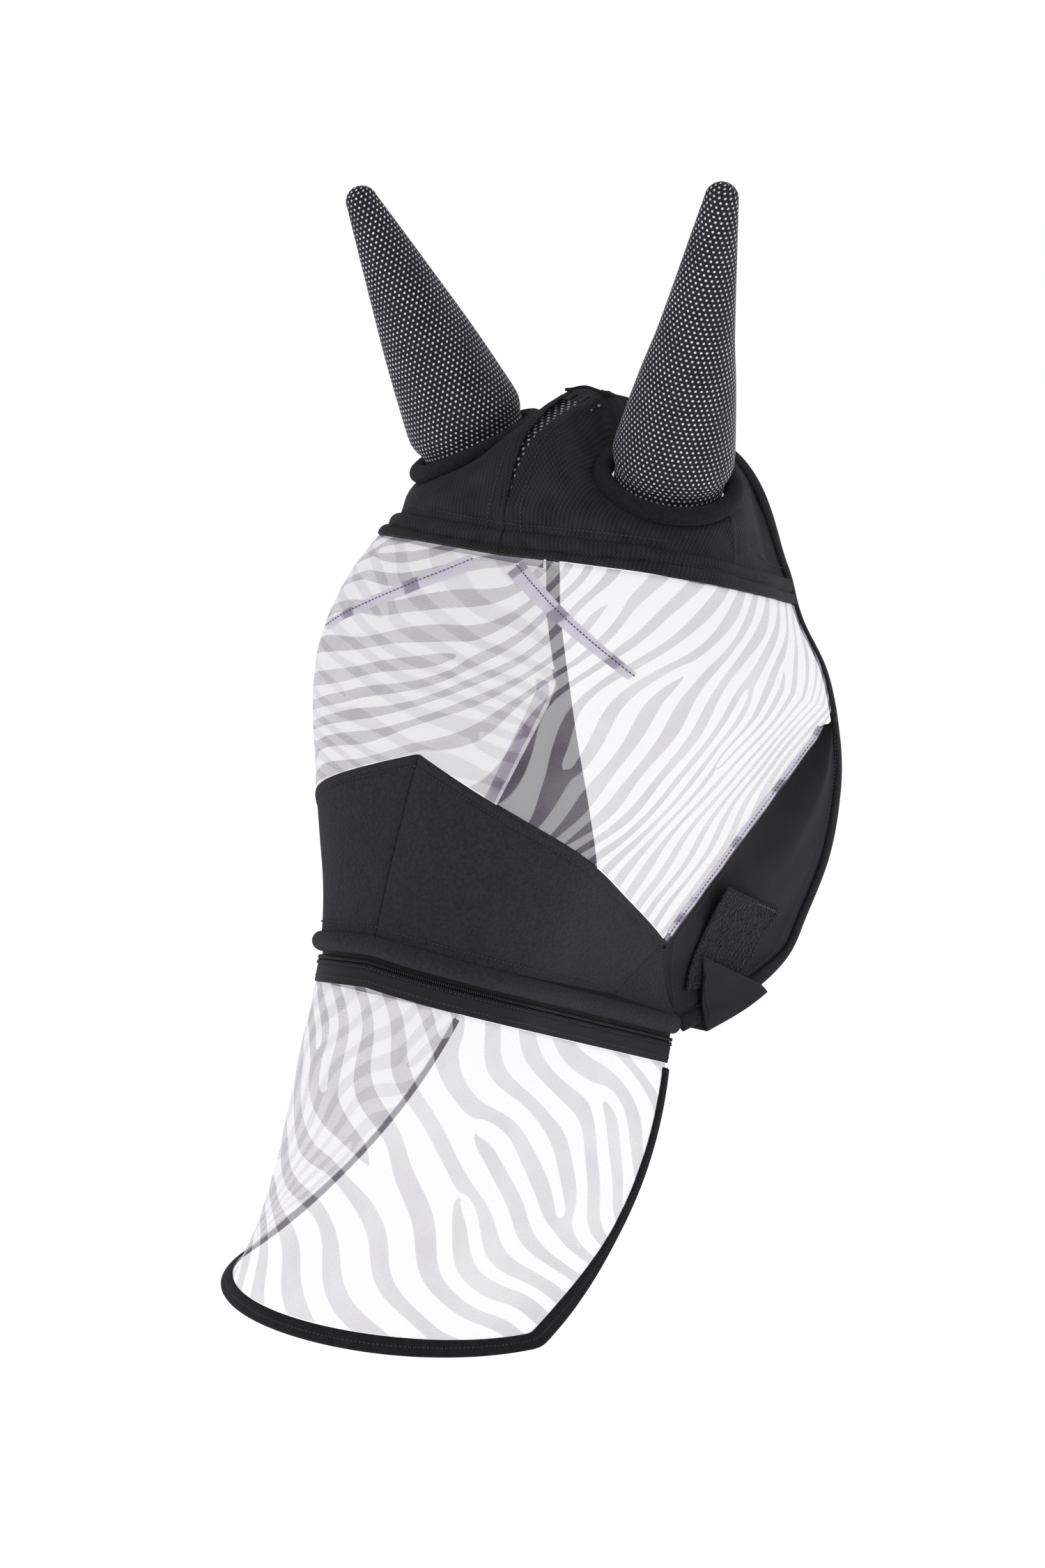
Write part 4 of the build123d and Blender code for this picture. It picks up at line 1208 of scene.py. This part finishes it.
def nose_edges(place):
    """Turned top edge, a groove at the centre seam, and a soft uneven surface."""
    x, y = place[..., 0], place[..., 1]
    top = y - y.min(0, keepdims=True)
    turned_edge = 0.9 * np.exp(-((top - 3) / 2.6) ** 4) - 0.5 * np.exp(-((top - 7) / 1.3) ** 2)
    centre = np.abs(x - x.min(1, keepdims=True))
    rear = np.abs(x.max(1, keepdims=True) - x)
    seams = -1.0 * np.exp(-(centre / 1.8) ** 2) - 0.8 * np.exp(-(rear / 2.0) ** 2)
    return turned_edge + seams + 0.3 * np.sin(x / 13) * np.sin(y / 11 + 1)


def plain_edges(place):
    return 0.35 * np.sin(place[..., 0] / 12 + 1) * np.sin(place[..., 1] / 15)


def cheek_folds(place):
    x, y = place[..., 0], place[..., 1]
    pull = 1.0 * np.sin((x + 0.6 * y) / 21) * np.sin(y / 33)
    return pull * fade(place, 25)


for side, mirror in (("left", False), ("right", True)):
    points = grid(lambda u, v: nose(u, 1.025 * v), 110, 90, mirror)
    panel = cloth(f"fleece_nose_{side}", points, FLEECE, thick=1.5, lift=0.2, relief=nose_edges)
    sew_on(panel, "mask", "fleece_black", f"nose_panel_{side}")
    points = grid(lambda u, v: gusset(between(-0.12, 1.04, u), between(-0.13, 1.05, v)), 40, 60,
                  mirror)
    panel = cloth(f"fleece_gusset_{side}", points, FLEECE, thick=1.2, lift=-0.7,
                  relief=plain_edges)
    sew_on(panel, "mask", "fleece_black", f"nose_gusset_{side}")
    points = grid(lambda u, v: cheek(between(-0.02, 1.02, u), between(-0.07, 1.03, v)), 80, 110,
                  mirror)
    panel = cloth(f"jersey_cheek_{side}", points, JERSEY, lift=-0.9, relief=cheek_folds)
    sew_on(panel, "mask", "jersey_black", f"cheek_panel_{side}")


def hem_path(below, count=240, lift=0.0):
    """Line round the whole nose, and the way that it faces, in metres."""
    u = np.linspace(-1, 1, count)
    line = hem(np.abs(u), below)
    line[:, 0] *= np.where(u >= 0, 1, -1)
    line = soften(line, 2)
    along = np.gradient(line, axis=0)
    rise = np.cross(along, np.array([0.0, 1.0, 0.1]))
    rise *= np.sign((rise * (line - np.array([0, 400, 10]))).sum(1, keepdims=True))
    rise /= np.linalg.norm(rise, axis=1, keepdims=True)
    return line + rise * lift, rise


line, rise = hem_path(GAP + HEM_ROLL)
size = soft_sizes(np.linspace(-4, 4, len(line)), HEM_ROLL * 1.03, 2, 0.03)
hem_roll = roll("fleece_hem_roll", to_row(line), turned(rise), size, size, FLEECE, sides=24)
sew_on(hem_roll, "mask", "fleece_black", "nose_hem_roll")

# %% Loop pad, closure tab and hook pad
PAD = [(322, 112), (334, 206), (386, 188), (400, 112)]
TAB_TOP, TAB_LIFT, TAB_DROP, TAB_TURN = (374, 119), 5, (0, 4.5, 3), 0.5


def pad_place(u, v):
    corner = [np.array(c, float) for c in PAD]
    u, v = np.broadcast_arrays(u, v)
    top = corner[0] + (corner[1] - corner[0]) * u[..., None]
    foot = corner[3] + (corner[2] - corner[3]) * u[..., None]
    flat = top + (foot - top) * v[..., None]
    return flat[..., 0], flat[..., 1]


def loop_pad(u, v):
    down, back = pad_place(u, v)
    return on_head(down, share_at(down, back))


def tab_edge(run):
    down = between(390, 424, run)
    flat = on_head(down, np.ones(np.shape(down)))
    return point(flat[..., 0], down, flat[..., 2])


def jaw_strap(across, along):
    """Closure tab: from the right cheek under the jaw to a pointed leaf on the left cheek."""
    across, along = np.broadcast_arrays(across, along)
    edge = tab_edge(between(0.0, 0.92, across))
    right, left = edge * [-1, 1, 1] + TAB_DROP, edge + TAB_DROP
    lift = np.array([TAB_LIFT, 0, 0])
    under = between(right + [2, 0, 0], left + lift, np.clip(along / TAB_TURN, 0, 1)[..., None])
    run = np.clip((along - TAB_TURN) / (1 - TAB_TURN), 0, 1)
    tip = between(TAB_TOP, (388, 128), across[..., None])
    goal = on_head(tip[..., 0], share_at(tip[..., 0], tip[..., 1]))
    flat = between(edge, goal, run[..., None])
    near = on_head(flat[..., 1], share_at(flat[..., 1], flat[..., 2]))
    leaf = between(left + lift, near + lift, np.clip(run * 9, 0, 1)[..., None])
    return np.where((along < TAB_TURN)[..., None], under, leaf)


def pile(place):
    """Tufts of loops, each a little higher or lower than the next."""
    return np.random.default_rng(5).uniform(-0.3, 0.3, place.shape[:2])


pad_points = grid(loop_pad, 90, 70)
pad = cloth("loop_pad_cheek", pad_points, LOOPS, thick=1.4, lift=1.9, relief=pile)
sew_on(pad, "mask", "loop_tape", "loop_pad")
tab_points = grid(jaw_strap, 24, 160)
tab = cloth("jersey_closure_tab", tab_points, JERSEY, thick=1.2)
sew_on(tab, "jaw_tab", "jersey_black", "closure_tab")
hook_points = grid(lambda u, v: jaw_strap(between(0.1, 0.9, u), between(0.8, 0.96, v)), 24, 40)
hooks = cloth("hook_pad_tab", hook_points, HOOKS, thick=0.9, lift=-1.5)
sew_on(hooks, "jaw_tab", "hook_tape", "hook_pad")

# %% [markdown]
# ## Zip and nose flap
# The upper half of the zip stays on the nose hem, and the lower half carries the flap. The flap
# bends just below the zip when it is lifted; here it is built hanging down.

# %% Zip tapes


def hem_band(top, bottom):
    return both_sides(lambda share, v: hem(share, between(top, bottom, v)))


TAPE_TOP = GAP + HEM_ROLL + HEM_ROLL + GAP
UPPER_COIL = TAPE_TOP + 2.5 + 0.2 + 1.3
LOWER_COIL = UPPER_COIL + 3.0
upper_points = grid(hem_band(TAPE_TOP - 5, UPPER_COIL + 2.2), 180, 10)
upper = cloth("herringbone_tape_upper", upper_points, TAPE, thick=0.8, lift=-1.1)
sew_on(upper, "mask", "zip_tape", "zip_tape_upper")


def tape_fold(place):
    share = (place[..., 1] - place[..., 1].min()) / np.ptp(place[..., 1])
    return 1.2 * ease(share / 0.3) + 0.15 * np.sin(place[..., 0] / 9) * ease(share / 0.3)


lower_points = grid(hem_band(LOWER_COIL - 1.4, FLAP_TOP - GAP + 1.0), 220, 20)
lower = cloth("herringbone_tape_lower", lower_points, TAPE, thick=0.8, lift=-0.2, relief=tape_fold)
sew_on(lower, "flap_zip_half", "zip_tape", "zip_tape_lower")

# %% Nose flap and its binding
FLAP_SIDE_BINDING, FLAP_FOOT_BINDING = 7, 12
FLAP_INSET = 0.996


def flap_half(share, fall):
    foot = 1 - 0.55 * FLAP_FOOT_BINDING / (FLAP_DOWN - NOSE_END_DOWN - FLAP_TOP)
    return flap(share * FLAP_INSET, between(0.004, foot, fall))


def flap_folds(place):
    """One soft fold on each side of the muzzle, and a gentle wave towards the foot."""
    x, y = place[..., 0], place[..., 1]
    drop = ease(y / 60)
    lift = (3.2 * np.exp(-((x + 62 + 0.12 * y) / 13) ** 2)
            - 2.6 * np.exp(-((x - 88 - 0.2 * y) / 16) ** 2))
    wave = 1.2 * np.sin(x / 30 + 0.8) * np.sin(y / 60)
    return (lift + wave) * drop * fade(place, 20)


flap_points = grid(both_sides(flap_half), 241, 141)
flap_place = cloth_place(flap_points)
edge_run = flap_place[..., 1] - flap_place[..., 1].min(0, keepdims=True)
# The top 3 mm of the flap, at the zip, lies double: more opaque there, and tinted with painted
# shade.
flap_marks = {"stripe": zebra(flap_place, flap_lean, 25.0, 18, 11, 0.1, 8.0),
              "doubled_and_fold_shade": np.clip(1 - edge_run / 3, 0, 1)}
flap_mesh = cloth("mesh_nose_flap", flap_points, FLAP_MESH, thick=0, relief=flap_folds,
                  marks=flap_marks)
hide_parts("nose_flap")


def flap_rim():
    """The three free edges of the flap, as one line, and the way that each point faces."""
    whole = both_sides(flap)
    down_left = [(np.full(70, 1.0), np.linspace(0.02, 1, 70))]
    foot = [(np.linspace(1, 0, 220)[1:-1], np.ones(218))]
    up_right = [(np.full(70, 0.0), np.linspace(1, 0.02, 70))]
    lines, faces = [], []
    for u, v in down_left + foot + up_right:
        inside = np.clip(u, 0.01, 0.99)
        lines.append(whole(u, v))
        across = whole(np.clip(inside + 0.01, 0, 1), v) - whole(np.clip(inside - 0.01, 0, 1), v)
        fall = whole(inside, np.clip(v, 0, 1)) - whole(inside, np.clip(v - 0.02, 0, 1))
        faces.append(np.cross(across, fall))
    line, rise = np.concatenate(lines), np.concatenate(faces)
    rise *= np.sign((rise * (line - np.array([0, 540, 0]))).sum(1, keepdims=True))
    return line, rise / np.linalg.norm(rise, axis=1, keepdims=True)


rim_line, rim_rise = flap_rim()
rim_line, rim_rise = even_path(rim_line, 2.5, rim_rise)
rim_line = soften(rim_line, 3)
foot_share = ease((rim_line[:, 1] - 560) / 60)
rim_width = FLAP_SIDE_BINDING / 2 + (FLAP_FOOT_BINDING - FLAP_SIDE_BINDING) / 2 * foot_share
rim = roll("binding_flap", to_row(rim_line), turned(rim_rise), rim_width, 1.5, BINDING,
           square=0.7)
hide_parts("flap_binding")

# %% [markdown]
# ## What repeats: stitches and zip teeth
# Every seam is a row of short stitches, and each half of the zip is a coil whose turns look like
# small ribs. Modelling each one by hand would take days. A Geometry Nodes tree walks a line at an
# even pitch and puts one small rounded piece at each step, turned along the line.

# %% The tree that repeats a piece along a line


def repeat_tree():
    tree = bpy.data.node_groups.new("Repeat along a line", "GeometryNodeTree")
    for name, kind, out in (("Geometry", "NodeSocketGeometry", "INPUT"),
                            ("Pitch", "NodeSocketFloat", "INPUT"),
                            ("Size", "NodeSocketVector", "INPUT"),
                            ("Material", "NodeSocketMaterial", "INPUT"),
                            ("Geometry", "NodeSocketGeometry", "OUTPUT")):
        tree.interface.new_socket(name, in_out=out, socket_type=kind)
    given = node(tree, "NodeGroupInput").outputs
    line = node(tree, "GeometryNodeMeshToCurve", {"Mesh": given["Geometry"]})
    steps = node(tree, "GeometryNodeResampleCurve", {"Curve": line.outputs[0],
                                                     "Length": given["Pitch"]}, mode="LENGTH")
    along = node(tree, "GeometryNodeInputTangent")
    rise = node(tree, "GeometryNodeInputNamedAttribute", {"Name": "rise"},
                data_type="FLOAT_VECTOR")
    first = node(tree, "FunctionNodeAlignRotationToVector", {"Vector": along.outputs[0]},
                 axis="X")
    turn = node(tree, "FunctionNodeAlignRotationToVector",
                {"Rotation": first.outputs[0], "Vector": rise.outputs[0]}, axis="Z",
                pivot_axis="X")
    bead = node(tree, "GeometryNodeMeshUVSphere", {"Segments": 8, "Rings": 4, "Radius": 0.5})
    put = node(tree, "GeometryNodeInstanceOnPoints",
               {"Points": steps.outputs[0], "Instance": bead.outputs[0],
                "Rotation": turn.outputs[0], "Scale": given["Size"]})
    whole = node(tree, "GeometryNodeRealizeInstances", {"Geometry": put.outputs[0]})
    painted = node(tree, "GeometryNodeSetMaterial", {"Geometry": whole.outputs[0],
                                                     "Material": given["Material"]})
    node(tree, "NodeGroupOutput", {0: painted.outputs[0]})
    return tree


REPEAT = repeat_tree()


def repeat(name, lines, pitch, size, material):
    """One mesh of small pieces along several (points, rise) lines in metres; sizes in mm."""
    mesh = bpy.data.meshes.new(name)
    corners, edges, rises = [], [], []
    for points, rise in lines:
        start = len(corners)
        corners += points.tolist()
        rises.append(rise)
        edges += [(start + k, start + k + 1) for k in range(len(points) - 1)]
    mesh.from_pydata(corners, edges, [])
    mesh.attributes.new("rise", "FLOAT_VECTOR", "POINT")
    mesh.attributes["rise"].data.foreach_set("vector", np.concatenate(rises).astype(np.float32)
                                             .ravel())
    piece = bpy.data.objects.new(name, mesh)
    bpy.context.scene.collection.objects.link(piece)
    maker = piece.modifiers.new("Repeat", "NODES")
    maker.node_group = REPEAT
    known = {s.name: s.identifier for s in REPEAT.interface.items_tree if s.in_out == "INPUT"}
    maker[known["Pitch"]] = pitch / 1000
    maker[known["Size"]] = [s / 1000 for s in size]
    maker[known["Material"]] = material
    bpy.context.view_layer.update()
    made = bpy.data.meshes.new_from_object(piece.evaluated_get(
        bpy.context.evaluated_depsgraph_get()))
    piece.modifiers.clear()
    piece.data = made
    made.polygons.foreach_set("use_smooth", [True] * len(made.polygons))
    print(name, len(made.polygons), "faces")
    return piece


# %% Seam lines on the panels


def lifted(points, height):
    """A grid's own points, raised by a height in millimetres, with their normals."""
    normal, _ = outward(points)
    return points + normal * height / 1000, normal


def column_line(points, share, height):
    """Line down a panel at a share of the way across."""
    raised, normal = lifted(points, height)
    k = int(share * (points.shape[1] - 1))
    return raised[:, k], normal[:, k]


def row_line(points, share, height):
    """Line across a panel at a share of the way down."""
    raised, normal = lifted(points, height)
    k = int(share * (points.shape[0] - 1))
    return raised[k], normal[k]


black_lines, grey_lines, pale_lines = [], [], []
for side, mirror in (("left", False), ("right", True)):
    points = grid(lambda u, v: brow_hem(between(0.002, 1, u), v), 150, 24, mirror)
    black_lines += [row_line(points, 0.5, 1.1), row_line(points, 0.94, 1.3)]
    points, _ = pull_to_ring(grid(lambda u, v: crown(between(0.004, 0.99, u), 0.995 * v),
                                  180, 90, mirror), side)
    black_lines += [row_line(points, 0.05, 0.8)]
    black_lines += [tuple(part[:int(len(part) * 0.9)] for part in column_line(points, 0.05, 1.0))]
    black_lines += [tuple(part[:26] for part in column_line(points, 0.655, 0.7))]
    points = grid(nose, 110, 90, mirror)
    black_lines += [row_line(points, 0.075, 0.4), row_line(points, 0.96, 0.8)]
    points = grid(gusset, 40, 60, mirror)
    black_lines += [column_line(points, 0.15, 0.7)]
    points = grid(cheek, 80, 110, mirror)
    black_lines += [column_line(points, 0.06, 0.6), column_line(points, 0.93, 0.6)]
    grey_lines += [column_line(dart_points["eye_dart", side], 0.45, 2.5),
                   column_line(dart_points["mesh_seam", side], 0.5, 2.2)]
pad_edge = [row_line(pad_points, 0.05, 2.3), row_line(pad_points, 0.95, 2.3),
            column_line(pad_points, 0.04, 2.3), column_line(pad_points, 0.96, 2.3)]
black_lines += pad_edge
raised, normal = row_line(pad_points, 0.03, 2.6)
pale_lines += [(raised[52:80], normal[52:80])]
tape_lines = [row_line(lower_points, 0.2, 1.5), row_line(lower_points, 0.75, 1.0)]
tab_lines = [tuple(part[90:] for part in column_line(tab_points, 0.08, 0.3)),
             tuple(part[90:] for part in column_line(tab_points, 0.92, 0.3))]
inner_edge = rim_line + rim_rise * 1.35
rim_lines = [(to_row(inner_edge), turned(rim_rise))]

# %% Stitches, one mesh for each body
STITCH_PITCH = 3.0             # from one stitch to the next
STITCH = (2.3, 0.9, 0.7)       # length, width and height of one stitch
for name, lines, body, material, stands_on in (
        ("stitches_black_mask", black_lines, "mask", BLACK_THREAD, "knit_black"),
        ("stitches_grey_mask", grey_lines, "mask", GREY_THREAD, "zebra_mesh"),
        ("stitches_pale_pad", pale_lines, "mask", PALE_THREAD, "loop_tape"),
        ("stitches_zip_tape", tape_lines, "flap_zip_half", BLACK_THREAD, "zip_tape"),
        ("stitches_closure_tab", tab_lines, "jaw_tab", BLACK_THREAD, "jersey_black")):
    sew_on(repeat(name, lines, STITCH_PITCH, STITCH, material), body, stands_on)
rim_stitches = repeat("stitches_flap_binding", rim_lines, STITCH_PITCH, STITCH, BLACK_THREAD)

# %% Zip coils
TOOTH_PITCH = 1.45             # from one turn of the coil to the next
TOOTH = (1.1, 3.1, 2.4)        # length, width and height of one turn


def coil_lines(below):
    line, rise = hem_path(below, 400, lift=0.5)
    return [(to_row(line), turned(rise))]


upper_coil = repeat("coil_upper", coil_lines(UPPER_COIL), TOOTH_PITCH, TOOTH, COIL)
sew_on(upper_coil, "mask", "zip_coil", "zip_coil_upper")
lower_coil = repeat("coil_lower", coil_lines(LOWER_COIL), TOOTH_PITCH, TOOTH, COIL)
sew_on(lower_coil, "flap_zip_half", "zip_coil", "zip_coil_lower")
for name in ("zip_slider", "zip_pull"):
    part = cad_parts[name]
    part.data.materials.clear()
    part.data.materials.append(ZINC)

# %% The middle of the flap's top edge, and the flap's parts fixed in place
hinge_start = to_row(between(hem(1.0, FLAP_TOP), hem(0.0, FLAP_TOP), 0.5))
for piece in (flap_mesh, rim, rim_stitches):
    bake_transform(piece)

# %% [markdown]
# ## Camera, floor and light
# A long lens keeps the mask's proportions. The floor, backdrop and light are plain and pale, so
# the sheer mesh shows its print against white, and the black cloth keeps its shape.

# %% Camera
CAMERA_TURN, CAMERA_RISE, CAMERA_REACH = radians(36), radians(15), 2.55
AIM_ACROSS, AIM_UP = -0.0518, -0.2731     # the middle of the view, from the poll
back = np.array([sin(CAMERA_TURN) * cos(CAMERA_RISE), -cos(CAMERA_TURN) * cos(CAMERA_RISE),
                 sin(CAMERA_RISE)])
right = np.array([cos(CAMERA_TURN), sin(CAMERA_TURN), 0])
aim = right * AIM_ACROSS + np.cross(back, right) * AIM_UP
camera = bpy.data.objects.new("Camera", bpy.data.cameras.new("Camera"))
bpy.context.scene.collection.objects.link(camera)
camera.data.lens, camera.data.sensor_width = 85, 36
camera.location = aim + back * CAMERA_REACH
camera.rotation_mode = "QUATERNION"
camera.rotation_quaternion = Vector(-back).to_track_quat("-Z", "Y")
bpy.context.scene.camera = camera
print("camera at", [round(x, 3) for x in camera.location])

# %% Floor, backdrop and lights
low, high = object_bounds()


def plain_surface(name, corners, faces, code, glow):
    mesh = bpy.data.meshes.new(name)
    mesh.from_pydata(corners, [], faces)
    material, tree = new_material(name + ", matt paint")
    shader = node(tree, "ShaderNodeBsdfPrincipled", {"Base Color": colour(code),
                                                     "Roughness": 0.9,
                                                     "Emission Color": colour("#FFFFFF"),
                                                     "Emission Strength": glow})
    node(tree, "ShaderNodeOutputMaterial", {0: shader.outputs[0]})
    mesh.materials.append(material)
    surface = bpy.data.objects.new(name, mesh)
    bpy.context.scene.collection.objects.link(surface)
    return surface


ground = low.z - 0.12
plain_surface("floor", [(-60, -60, ground), (60, -60, ground), (60, 60, ground),
                        (-60, 60, ground)], [(0, 1, 2, 3)], "#F6F6F6", 0.55)


def soft_light(name, place, size, power):
    lamp = bpy.data.lights.new(name, "AREA")
    lamp.energy, lamp.size, lamp.shape = power, size, "DISK"
    holder = bpy.data.objects.new(name, lamp)
    bpy.context.scene.collection.objects.link(holder)
    holder.location = place
    holder.rotation_mode = "QUATERNION"
    holder.rotation_quaternion = (Vector((0, 0, -0.3)) - Vector(place)).to_track_quat("-Z", "Y")


soft_light("key", (-0.6, -2.2, 1.6), 1.3, 16)
soft_light("fill", (2.2, -0.6, 0.6), 1.6, 6)
soft_light("rim", (0.6, 2.2, 1.4), 1.2, 9)
world = bpy.data.worlds.new("Studio")
world.use_nodes = True
world.node_tree.nodes["Background"].inputs[0].default_value = (1, 1, 1, 1)
world.node_tree.nodes["Background"].inputs[1].default_value = 0.5
bpy.context.scene.world = world
bpy.context.scene.view_settings.view_transform = "Standard"
